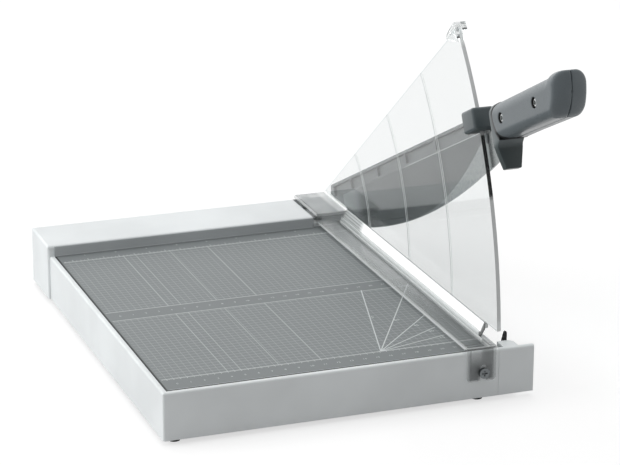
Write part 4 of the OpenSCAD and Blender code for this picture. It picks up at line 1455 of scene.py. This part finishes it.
@dataclass
class BoardNumerals(Part):
    """Printed numbers of the rulers and rays, as flat type just over the board."""

    height: float = 2.3
    type_size: float = 1.4
    larger: float = 1.4
    lift: float = 0.02
    cm_y: tuple[float, float] = (14.9, RULED.band)
    cm_pitch: float = 10.0
    cm_count: int = 22
    inch_y: float = 298.2
    inch_count: int = 8
    degrees: tuple[tuple[int, float, float], ...] = (
        (75, 190.4, 92.2), (60, 206.2, 80.4), (45, 215.6, 65.0), (30, 221.5, 50.5),
        (15, 224.0, 36.0),
    )

    def glyph(self, text: str) -> Shape:
        """Flat type of a number, centred on the origin, about one unit tall.

        Args:
            text: The digits.

        Returns:
            Points of shape (n, 2) and faces.
        """
        curve = bpy.data.curves.new("digits", "FONT")
        curve.body = text
        curve.align_x = "CENTER"
        curve.align_y = "CENTER"
        curve.size = self.type_size
        curve.resolution_u = 2
        holder = in_scene("digits", curve)
        mesh = settled_mesh(holder)
        flat = np.zeros(len(mesh.vertices) * 3)
        mesh.vertices.foreach_get("co", flat)
        faces = [list(p.vertices) for p in mesh.polygons]
        bpy.data.objects.remove(holder)
        bpy.data.meshes.remove(mesh)
        bpy.data.curves.remove(curve)
        return flat.reshape(-1, 3)[:, :2], faces

    def labels(self) -> list[tuple[str, float, float, float]]:
        """Lists the numbers of the rulers and rays.

        Returns:
            Each number with its X, Y and height.
        """
        out = [
            (str(i), RULED.cm_x0 + self.cm_pitch * i, y, self.height)
            for y in self.cm_y for i in range(self.cm_count)
        ]
        out += [
            (str(i + 1), RULED.inch_x0 + RULED.inch * i, self.inch_y, self.height)
            for i in range(self.inch_count)
        ]
        return out + [(str(a), x, y, self.height * self.larger) for a, x, y in self.degrees]

    def build(self) -> list[bpy.types.Object]:
        """Joins all the numbers into one flat piece, each number's type being made once.

        Returns:
            The piece.
        """
        labels = self.labels()
        glyphs = {text: self.glyph(text) for text in dict.fromkeys(label[0] for label in labels)}
        shapes = []
        for text, x, y, size in labels:
            flat, faces = glyphs[text]
            rise = np.full(len(flat), self.lift)
            shapes.append((np.column_stack([flat * size + [x, y], rise]), faces))
        finish = self.finishes.numerals
        return [make_piece("board_numerals", joined(shapes), finish, Body.BASE, Slot.PRINT)]


@dataclass
class PaperStop(Part):
    """Strip on the housing's front face, with a small lip along its foot."""

    x0: float = 3.6
    x1: float = 222.5
    face_y: float = 302.4
    rear_y: float = 304.0
    top: float = 8.1
    top_edge: float = 0.4
    lip: float = 0.6
    lip_top: float = 0.8
    lip_edge: float = 0.2
    fillet: float = 0.1

    def build(self) -> list[bpy.types.Object]:
        """Sweeps the strip's profile along the housing.

        Returns:
            The strip.
        """
        y, toe, rear, fillet = self.face_y, self.face_y - self.lip, self.rear_y, self.fillet
        soft = 0.3 * self.top_edge
        profile = np.array([
            (rear, 0.0), (toe, 0.0), (toe, self.lip_top - self.lip_edge),
            (toe + self.lip_edge, self.lip_top), (y - fillet, self.lip_top + fillet),
            (y, self.lip_top + 3 * fillet), (y, self.top - self.top_edge),
            (y + soft, self.top - soft), (y + self.top_edge, self.top), (rear, self.top),
        ])
        shape = swept(profile, self.x0, self.x1)
        finish = self.finishes.stop
        return [make_piece("stop_strip", shape, finish, Body.BASE, Slot.STOP, ("paper_stop",))]


@dataclass
class StopPeg(Part):
    """Dark buffer behind the boss, sloped on its left side and rounded on top."""

    right_x: float = 266.9
    left_x: float = 261.6
    slope: float = 3.5
    near_y: float = 15.9
    far_y: float = 19.6
    foot: float = -8.0
    top: float = 6.2
    tip: float = 1.2
    corner: float = 1.0
    rows: int = 8

    def build(self) -> list[bpy.types.Object]:
        """Lofts the buffer from its foot up, its tip drawn in along a quarter circle.

        Returns:
            The buffer.
        """
        turn = np.linspace(0, QUARTER, 6)[1:-1]
        straight = np.linspace(self.foot, self.top - self.tip, self.rows)
        level = np.concatenate([straight, self.top - self.tip * (1 - np.sin(turn))])
        inset = np.concatenate([np.zeros(self.rows), self.tip * (1 - np.cos(turn))])
        share = np.clip((level - self.foot) / (self.top - self.foot), 0, 1)
        low = np.column_stack([self.left_x + self.slope * share + inset, self.near_y + inset])
        high = np.column_stack([self.right_x - inset, self.far_y - inset])
        shape = rounded_loft(low, high, level, self.corner - inset * 0.5)
        finish = self.finishes.rubber
        return [make_piece("stop_buffer", shape, finish, Body.BASE, Slot.RUBBER, ("stop_peg",))]


@dataclass
class ClampRail(Part):
    """Clear clamp: flange over the board, sloping web, forked leg in front, foot at the rear."""

    left: float = 226.0
    right: float = 250.9
    front_right: float = 250.3
    web_left: float = 246.2
    web_foot: float = 247.5
    web_front: float = 20.0
    low: float = 2.8
    top: float = 4.6
    web_low: float = 8.6
    web_top: float = 14.2
    web_lip: float = 0.35
    ridge_top: float = 6.8
    ridge_edge: float = 0.2
    line_x: Span = (243.4, 244.6)
    line_y: Span = (9.0, 297.0)
    line_top: float = 5.9
    leg_left: float = 227.8
    leg_low: float = -22.0
    leg_rear: float = -0.6
    leg_front: float = -2.4
    leg_top: float = 4.3
    leg_corner: float = 3.2
    slot: Span = (237.7, 243.1)
    slot_top: float = -9.7
    slot_corner: float = 2.6
    riser: Span = (298.6, 300.4)
    riser_low: float = 3.2
    foot_left: float = 223.8
    foot_low: float = 9.8
    foot_top: float = 12.7
    foot_rear: float = 352.7
    upright_left: float = 247.6
    upright_rear: float = 346.5
    upright_top: float = 0.5
    edge: float = 0.45
    corner: float = 0.7

    def flange(self) -> Shape:
        """Flange outline in plan, carried up with rounded edges, with the raised line on it.

        Returns:
            Corner-frame points and faces.
        """
        inner, rear, r = self.web_left + 0.1, self.riser[1], self.corner
        outline = round_corners([
            (self.left, self.leg_front, 1.2), (self.front_right, self.leg_front, 1.2),
            (self.front_right, self.web_front, r), (inner, self.web_front + 0.5, 0.3),
            (inner, rear, r), (self.left, rear, r),
        ])
        plate = reordered(edged_plate(outline, self.low, self.top, self.edge), [1, 2, 0])
        (x0, x1), (y0, y1) = self.line_x, self.line_y
        line = soft_box((x0, y0, self.top - 1.0), (x1, y1, self.line_top), 0.4, 3)
        return joined([plate, line])

    def web(self) -> Shape:
        """Web profile carried from the front to the riser.

        Returns:
            Corner-frame points and faces.
        """
        left, foot, right, top = self.web_left, self.web_foot, self.right, self.web_top
        low, ridge, edge = self.low, self.ridge_top, self.ridge_edge
        profile = np.array([
            (left, low), (foot, low), (right, self.web_low), (right, top),
            (right - self.web_lip, top - 0.1), (foot, ridge), (foot - edge, ridge + edge),
            (left + edge, ridge + edge), (left, ridge),
        ])
        return reordered(swept(profile, self.web_front, self.riser[1]), [1, 0, 2])

    def leg(self) -> Shape:
        """Leg outline with its open slot, carried rearwards with rounded edges.

        Returns:
            Corner-frame points and faces.
        """
        (a, b), low, outer, inner = self.slot, self.leg_low, self.leg_corner, self.slot_corner
        outline = round_corners([
            (self.leg_left, low, outer), (a, low, 1.0), (a, self.slot_top, inner),
            (b, self.slot_top, inner), (b, low, 1.0), (self.front_right, low, outer),
            (self.front_right, self.leg_top, 1.0), (self.leg_left, self.leg_top, 1.0),
        ])
        plate = edged_plate(outline, self.leg_front, self.leg_rear, self.edge)
        return reordered(plate, [1, 0, 2])

    def foot(self) -> Shape:
        """Foot plate with its riser, and the web's low upright along its right side.

        Returns:
            Corner-frame points and faces.
        """
        (front, back), low, top, r = self.riser, self.riser_low, self.foot_top, self.corner
        outline = round_corners([
            (front, low, r), (back, low, r), (back, self.foot_low, r),
            (self.foot_rear, self.foot_low, r), (self.foot_rear, top, r), (front, top, r),
        ])
        plate = edged_plate(outline, self.foot_left, self.front_right, self.edge)
        crest = self.right - self.upright_top
        slope = (self.web_top - top) * 0.46
        profile = np.array([
            (self.upright_left, top - 0.3), (self.right, top - 0.3), (self.right, self.web_top),
            (crest, self.web_top), (crest - slope, top + 0.2),
        ])
        return joined([plate, reordered(swept(profile, front, self.upright_rear), [1, 0, 2])])

    def build(self) -> list[bpy.types.Object]:
        """Makes the four pieces, which stand for the clamp's solid.

        Returns:
            Flange, web, leg and foot.
        """
        f = self.finishes
        return [
            make_piece(name, shape, finish, Body.CLAMP, Slot.CLEAR, ("clamp_rail",))
            for name, shape, finish in (
                ("clamp_flange", self.flange(), f.flange), ("clamp_web", self.web(), f.web),
                ("clamp_leg", self.leg(), f.leg), ("clamp_foot", self.foot(), f.foot),
            )
        ]


@dataclass
class GuideBlock(Part):
    """Dark block that hooks round the guard's curved front edge."""

    low: Point = (243.0, 324.0, 16.0)
    high: Point = (260.4, 346.0, 32.4)
    soft: float = 2.3
    slot_x: Span = (250.6, 254.4)
    slot_r: float = 336.5
    over: float = 4.0

    def build(self) -> list[bpy.types.Object]:
        """Rounds the block and cuts the guard's slot, whose floor is an arc round the pivot.

        Returns:
            The block.
        """
        points, faces = soft_box(self.low, self.high, self.soft, 6)
        block = make_piece(
            "guard_guide", (ARM.points(*points.T), faces),
            self.finishes.dark, Body.ARM, Slot.DARK, ("guide_block",),
        )
        v = np.linspace(self.low[2] - self.over, self.high[2] + self.over, 13)
        u = np.concatenate([np.sqrt(self.slot_r**2 - v**2), [self.low[1] - self.over] * 2])
        v = np.concatenate([v, [v[-1], v[0]]])
        slot = ARM.points(np.array(self.slot_x)[:, None], u[None], v[None]).reshape(-1, 3)
        cut_away(block, (slot, tube_faces(2, len(u))))
        return [block]


@dataclass
class FingerGuard(Part):
    """Collar round the arm's neck and the guard below it that keeps the fingers off the blade."""

    left: float = 243.5
    finger_left: float = 248.0
    taper: float = 1.15
    right_v: tuple[float, ...] = (-18.0, -3.0, 1.4, 7.0)
    right_x: tuple[float, ...] = (259.6, 263.0, 262.6, 264.0)
    rear_u: float = 372.8
    thick: float = 6.7
    top: float = 29.3
    low: float = -18.0
    dome: float = 8.0
    edge: float = 0.6
    shelf: float = 1.4
    shelf_low: float = -3.5
    hollow: float = 2.2
    reach: float = 6.5

    def build(self) -> list[bpy.types.Object]:
        """Lofts the collar up the arm's v direction.

        Its sides taper below the handle, its front follows the round seam above the shelf and
        falls back in a hollow below it, and its top narrows along a quarter circle.

        Returns:
            The collar with its finger guard.
        """
        turn = np.linspace(0, QUARTER, 9)
        level = np.concatenate([
            self.low + self.edge * (1 - np.cos(turn[::2])),
            np.linspace(self.low + 1.6, self.top - self.dome, 34),
            self.top - self.dome + self.dome * np.sin(turn[1:]),
        ])
        below = np.clip(-level / -self.low, 0, 1)
        left = self.left + (self.finger_left - self.left) * below**self.taper
        right = np.interp(level, self.right_v, self.right_x)
        dome, foot = (
            r - np.sqrt(np.maximum(0.0, r**2 - np.clip(past, 0, None) ** 2))
            for r, past in (
                (self.dome, level - self.top + self.dome), (self.edge, self.low + self.edge - level)
            )
        )
        seam = np.minimum(SEAM.at(np.maximum(level, self.shelf)), SEAM.u + self.reach)
        rise = np.clip((level - self.shelf_low) / (self.shelf - self.shelf_low), 0, 1)
        front = self.rear_u + self.thick
        front = front + (seam - front) * rise**self.hollow
        low = np.column_stack([left + dome + foot, self.rear_u + foot])
        high = np.column_stack([right - dome - foot, front - foot])
        points, faces = rounded_loft(low, high, level, self.edge)
        return [make_piece(
            "finger_collar", (ARM.points(*points.T), faces),
            self.finishes.collar, Body.ARM, Slot.DARK, ("finger_guard",),
        )]


@dataclass
class Handle(Part):
    """Two grip shells with a raised, rounded end, a parting groove and two sunk screws."""

    middle_x: float = 255.0
    half_width: float = 13.0
    low: float = 1.8
    top: float = 29.0
    rise: float = 0.6
    rise_u: Span = (410.0, 480.0)
    fall: float = 0.9
    fall_u: Span = (420.0, 500.0)
    corner: float = 9.2
    low_corner: float = 7.0
    middle_up: float = 0.6
    section_u: float = 440.0
    end_u: float = 458.2
    end_v: float = 28.7
    end_r: float = 32.5
    plan_r: float = 21.0
    hump_u: float = 479.0
    hump_up: float = 2.3
    hump_r: float = 60.0
    hump_rear_r: float = 5.0
    hump_blend: float = 4.0
    end_round: float = 1.8
    edge: float = 0.5
    groove: float = 0.35
    groove_rim: float = 0.6
    groove_sink: float = 0.03
    groove_end: float = 0.5
    head_x: float = 243.05
    head_r: float = 3.45
    socket_r: float = 1.75
    socket_deep: float = 1.9
    smooth_below: float = 50.0

    def top_at(self, u: np.ndarray) -> np.ndarray:
        """Top line: the soft maximum of the slightly rising top and the arc of the raised end.

        Args:
            u: Places along the arm.

        Returns:
            The top's v at each place.
        """
        start, end = self.rise_u
        level = self.top + self.rise * (u - start) / (end - start)
        r = np.where(u < self.hump_u, self.hump_rear_r, self.hump_r)
        arc = self.top + self.hump_up - r + np.sqrt(np.maximum(0, r**2 - (u - self.hump_u) ** 2))
        over = np.clip((arc - level) * self.hump_blend, -30, 30)
        return level + np.log1p(np.exp(over)) / self.hump_blend

    def section(self, u: np.ndarray, t: np.ndarray) -> tuple[np.ndarray, np.ndarray]:
        """Half section of a shell: half a rounded rectangle, by share of its length.

        Args:
            u: Place along the arm of each point.
            t: Share of the way from the bottom's middle round to the top's middle.

        Returns:
            The distance out from the parting plane, and v.
        """
        start, end = self.fall_u
        low = self.low - self.fall * np.clip((u - start) / (end - start), 0, 1)
        r, q, w = self.low_corner, self.corner, self.half_width
        side = self.top_at(u) - low - r - q
        flat, arc, bend = w - r, r * QUARTER, q * QUARTER
        s = t * (flat + arc + side + bend + w - q)
        lower = np.clip((s - flat) / r, 0, QUARTER)
        upper = np.clip((s - flat - arc - side) / q, 0, QUARTER)
        over = np.clip(s - flat - arc - side - bend, 0, None)
        x = np.minimum(s, flat) + r * np.sin(lower) - q * (1 - np.cos(upper)) - over
        v = low + r * (1 - np.cos(lower)) + np.clip(s - flat - arc, 0, side) + q * np.sin(upper)
        return x, v

    def end_face(self, x: np.ndarray, v: np.ndarray) -> np.ndarray:
        """How far ahead the round end reaches: its side arc less its plan arc's sag."""
        side = self.end_u + np.sqrt(np.maximum(1.0, self.end_r**2 - (v - self.end_v) ** 2))
        return side - (self.plan_r - np.sqrt(np.maximum(1.0, self.plan_r**2 - x**2)))

    def shell(self, side: float) -> Shape:
        """One closed shell: rounded rim at the seam, side wall, round end and flat parting face.

        The rim and the end's edge draw the section in by a radius less its cosine while u runs on
        by the radius times the sine; the end's face then closes to its middle. Beside the parting
        plane, the section and the end are drawn in a little for the groove.

        Args:
            side: -1 for the left shell, 1 for the right one.

        Returns:
            Corner-frame points and faces.
        """
        t = np.linspace(0, 1, 61)
        x, v = self.section(np.full_like(t, self.section_u), t)
        middle = (self.low + self.top) / 2 + self.middle_up
        first, last = SEAM.at(v) + SEAM.gap, self.end_face(x, v) - self.end_round
        turn = np.linspace(0, QUARTER, 6)
        rows: list[tuple[np.ndarray, np.ndarray, np.ndarray]] = []
        for a in turn[:-1]:
            shrink = 1 - self.edge * (1 - math.sin(a)) / self.half_width
            start = first + self.edge * (1 - math.cos(a))
            rows.append((x * shrink, start, middle + (v - middle) * shrink))
        for a in np.linspace(0, 1, 41):
            u = first + self.edge + (last - first - self.edge) * a
            wide, high = self.section(u, t)
            rows.append((wide, u, high))
        edge_x, _, edge_v = rows[-1]
        depth = self.end_round / self.half_width
        closing = np.linspace(1 - depth, 0.0, 10)[1:]
        shares = np.concatenate([1 - depth * (1 - np.cos(turn[1:])), closing])
        drops = np.concatenate([self.end_round * (1 - np.sin(turn[1:])), np.zeros(len(closing))])
        for share, drop in zip(shares, drops):
            wide, high = edge_x * share, middle + (edge_v - middle) * share
            rows.append((wide, self.end_face(wide, high) - drop, high))
        wide, along, high = (np.array(axis) for axis in zip(*rows))
        beside = (1 - np.minimum(1.0, wide / self.groove_rim)) ** 2
        high = middle + (high - middle) * (1 - self.groove_sink * beside)
        at_end = np.arange(len(along))[:, None] > len(along) - 12
        along = along - self.groove_end * beside * at_end
        out = self.groove / 2 + np.maximum(wide - self.groove / 2, 0.0)
        points = ARM.points(self.middle_x + side * out, along, high).reshape(-1, 3)
        count, cols = wide.shape
        down = [i * cols + cols - 1 for i in range(count - 2, -1, -1)]
        parting = [i * cols for i in range(count)] + down
        return points, grid_faces(count, cols, False) + [parting, list(range(cols))[::-1]]

    def ring(self, x: np.ndarray, u: float, radius: np.ndarray, angle: np.ndarray) -> Shape:
        """Closed body turned round a screw's axis.

        Args:
            x: Place of each ring along the axis, shape (n, 1).
            u: Place of the axis along the arm.
            radius: Radius of each ring, shape (n, 1), or of each of its points.
            angle: Angle of each point of a ring.

        Returns:
            Corner-frame points and faces.
        """
        points = ARM.points(x, u + radius * np.cos(angle), HOLES.v + radius * np.sin(angle))
        return points.reshape(-1, 3), tube_faces(len(x), len(angle))

    def screw(self, u: float) -> Shape:
        """Sunk screw: a chamfered head round a six-sided socket, then its shank.

        Args:
            u: Place of the screw along the arm.

        Returns:
            Corner-frame points and faces.
        """
        angle = np.linspace(0, 2 * math.pi, 48, endpoint=False)
        hexagon = math.cos(math.pi / 6) / np.cos(np.mod(angle, math.pi / 3) - math.pi / 6)
        head, socket, deep = self.head_r, self.socket_r, self.socket_deep
        rings = np.array([
            (0.05, deep, True), (socket, deep, True), (socket, 0.0, True), (head - 1.1, 0.0, False),
            (head - 0.3, 0.25, False), (head, 0.7, False), (head, 5.8, False), (1.5, 5.8, False),
            (1.5, 12.0, False),
        ])
        radius, depth, six = rings[:, :1], rings[:, 1:2], rings[:, 2:]
        return self.ring(self.head_x + depth, u, radius * np.where(six, hexagon, 1.0), angle)

    def build(self) -> list[bpy.types.Object]:
        """Makes both shells, sinks the screw recesses into the left one and sets the screws.

        Returns:
            The left shell, the right shell and the screws.
        """
        f = self.finishes
        made = [
            make_piece(
                f"grip_shell_{name}", self.shell(side), f.grip, Body.ARM, Slot.GRIP,
                (f"handle_{name}",), self.smooth_below,
            )
            for side, name in ((-1.0, "left"), (1.0, "right"))
        ]
        angle = np.linspace(0, 2 * math.pi, 40, endpoint=False)
        radius = np.array([HOLES.r + 1.0, HOLES.r, HOLES.r])[:, None]
        face = self.middle_x - self.half_width
        across = np.array([face - 0.5, face + 0.45, HOLES.floor_x])[:, None]
        for u in HOLES.u:
            cut_away(made[0], self.ring(across, u, radius, angle))
        screws = joined([self.screw(u) for u in HOLES.u])
        fixed = ("handle_screws",)
        return [*made, make_piece("grip_screws", screws, f.nickel, Body.ARM, Slot.ZINC, fixed)]


# ---------------------------------------------------------------- the studio


@dataclass(frozen=True)
class Lamp:
    """A soft rectangular light: its place and size in metres, and its power in watts."""

    name: str
    at: Point
    size: Span
    power: float

    def hang(self, aim: Point) -> None:
        """Hangs the light so that it shows only in what it lights.

        Args:
            aim: The place that it faces, in metres.
        """
        data = bpy.data.lights.new(self.name, "AREA")
        data.shape = "RECTANGLE"
        data.size, data.size_y = self.size
        data.energy = self.power
        obj = in_scene(self.name, data)
        obj.location = self.at
        obj.rotation_mode = "QUATERNION"
        obj.rotation_quaternion = (Vector(aim) - Vector(self.at)).to_track_quat("-Z", "Y")
        obj.visible_glossy = False
        obj.visible_camera = False


@dataclass
class Studio:
    """Camera, floor, backdrop and soft lights."""

    focal_pixels: float = 2571.214
    yaw: float = 20.319
    pitch: float = 18.73
    roll: float = 0.288
    stand: Point = (-475.164, -1573.466, 674.256)
    clip: Span = (0.05, 50.0)
    ambient: float = 0.45
    floor_size: float = 6.0
    floor_grey: float = 0.54
    floor_pale: float = 0.45
    floor_glow: float = 0.64
    horizon: Span = (900.0, 2200.0)
    mirror_front: Span = (-260.0, -30.0)
    mirror_right: Span = (300.0, 520.0)
    aim: Point = (0.0, 0.0, 0.05)
    lamps: tuple[Lamp, ...] = (
        Lamp("left_soft", (-2.2, 0.5, 1.1), (1.6, 1.6), 24.0),
        Lamp("rear_soft", (-1.0, 2.3, 0.55), (2.0, 1.0), 15.0),
        Lamp("over_soft", (0.1, 0.6, 2.4), (2.2, 2.2), 21.0),
    )

    def camera(self) -> None:
        """Makes the scene's camera from its measured place and angles.

        Yaw turns its axis from Y to the right and pitch tips it down; roll then turns its right
        and up directions about the axis.
        """
        a, e, r = (math.radians(v) for v in (self.yaw, self.pitch, self.roll))
        ahead = np.array([math.sin(a) * math.cos(e), math.cos(a) * math.cos(e), -math.sin(e)])
        right = np.cross(ahead, [0, 0, 1])
        right /= np.linalg.norm(right)
        up = np.cross(right, ahead)
        matrix = np.eye(4)
        matrix[:3, 0] = right * math.cos(r) + up * math.sin(r)
        matrix[:3, 1] = up * math.cos(r) - right * math.sin(r)
        matrix[:3, 2] = -ahead
        matrix[:3, 3] = placed(np.array(self.stand))
        data = bpy.data.cameras.new("camera")
        data.sensor_fit = "HORIZONTAL"
        data.sensor_width = SENSOR
        data.lens = self.focal_pixels / IMAGE_WIDTH * SENSOR
        data.clip_start, data.clip_end = self.clip
        cam = in_scene("camera", data)
        cam.matrix_world = Matrix(matrix.tolist())
        bpy.context.scene.camera = cam

    def straight_to_eye(self, s: Shader, mirrored: Value) -> Value:
        """How much a ray shows the white backdrop instead of the room's plain light.

        Args:
            s: The shader that the nodes go into.
            mirrored: How white the backdrop looks in a reflection.

        Returns:
            1 for a ray that reaches the eye directly or through clear plastic, the mirrored share
            for a reflection, and 0 for a ray that only lights a surface.
        """
        names = ("Diffuse Depth", "Is Camera Ray", "Is Transmission Ray", "Is Glossy Ray")
        depth, seen, through, glossy = (s.fact("LightPath", name) for name in names)
        return most(seen, through, glossy * mirrored) * (depth < 0.5)

    def floor(self) -> None:
        """Lays a wide pale floor that stays white to the camera and keeps the soft shadow."""
        s = Shader(bpy.data.materials.new("floor"))
        x, y, _, _ = s.place()
        behind, right = y.step(*self.mirror_front) * 0.75, x.step(*self.mirror_right) * 0.6
        seen = self.straight_to_eye(s, behind.high(right) + 0.25)
        matt, pale = (
            s.surface(Base_Color=(grey, grey, grey, 1.0), Roughness=0.9, Specular_IOR_Level=0.0)
            for grey in (self.floor_grey, self.floor_pale)
        )
        both = s.node("ShaderNodeAddShader", None, {0: pale, 1: s.glow(self.floor_glow)})
        near = s.either(seen, matt, both.outputs[0])
        far = length(x, y).step(*self.horizon) * s.fact("LightPath", "Is Camera Ray")
        mesh = bpy.data.meshes.new("floor")
        size = self.floor_size
        around = [(-size, -size, 0), (size, -size, 0), (size, size, 0), (-size, size, 0)]
        mesh.from_pydata(around, [], [(0, 1, 2, 3)])
        mesh.materials.append(s.finish(s.either(far, near, s.glow(1.0))))
        obj = in_scene("floor", mesh)

    def world(self) -> None:
        """Lights the room evenly, and shows white to the camera and in reflections."""
        s = Shader(bpy.data.worlds.new("room"))
        x, y, _ = s.parts(s.node("ShaderNodeTexCoord").outputs["Generated"])
        glow = (y * 0.9 - x * 0.43).step(0.55, 1.0) * 0.7
        seen = self.straight_to_eye(s, y.step(-0.75, 0.1).high(x.step(0.2, 0.8)) + glow)
        strength = seen * (1.0 - self.ambient) + self.ambient
        back = s.node("ShaderNodeBackground", None, {"Color": WHITE, "Strength": strength})
        bpy.context.scene.world = s.finish(back.outputs[0], "World")

    def build(self) -> None:
        """Sets the whole studio up."""
        self.camera()
        self.floor()
        self.world()
        for lamp in self.lamps:
            lamp.hang(self.aim)
        bpy.context.scene.view_settings.view_transform = "Standard"


def main() -> None:
    """Builds the studio and the cutter's parts in order, and logs each piece."""
    logging.basicConfig(level=logging.INFO, format="%(message)s")
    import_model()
    Studio().build()
    LOG.info("studio ready")
    finishes = Finishes()
    LOG.info("carried nodes dressed: %d", len(CarriedNodes(finishes).build()))
    for part in (BoardNumerals, PaperStop, StopPeg, ClampRail, GuideBlock, FingerGuard, Handle):
        for piece in part(finishes).build():
            LOG.info("made %s", piece.name)


if __name__ == "__main__":
    main()
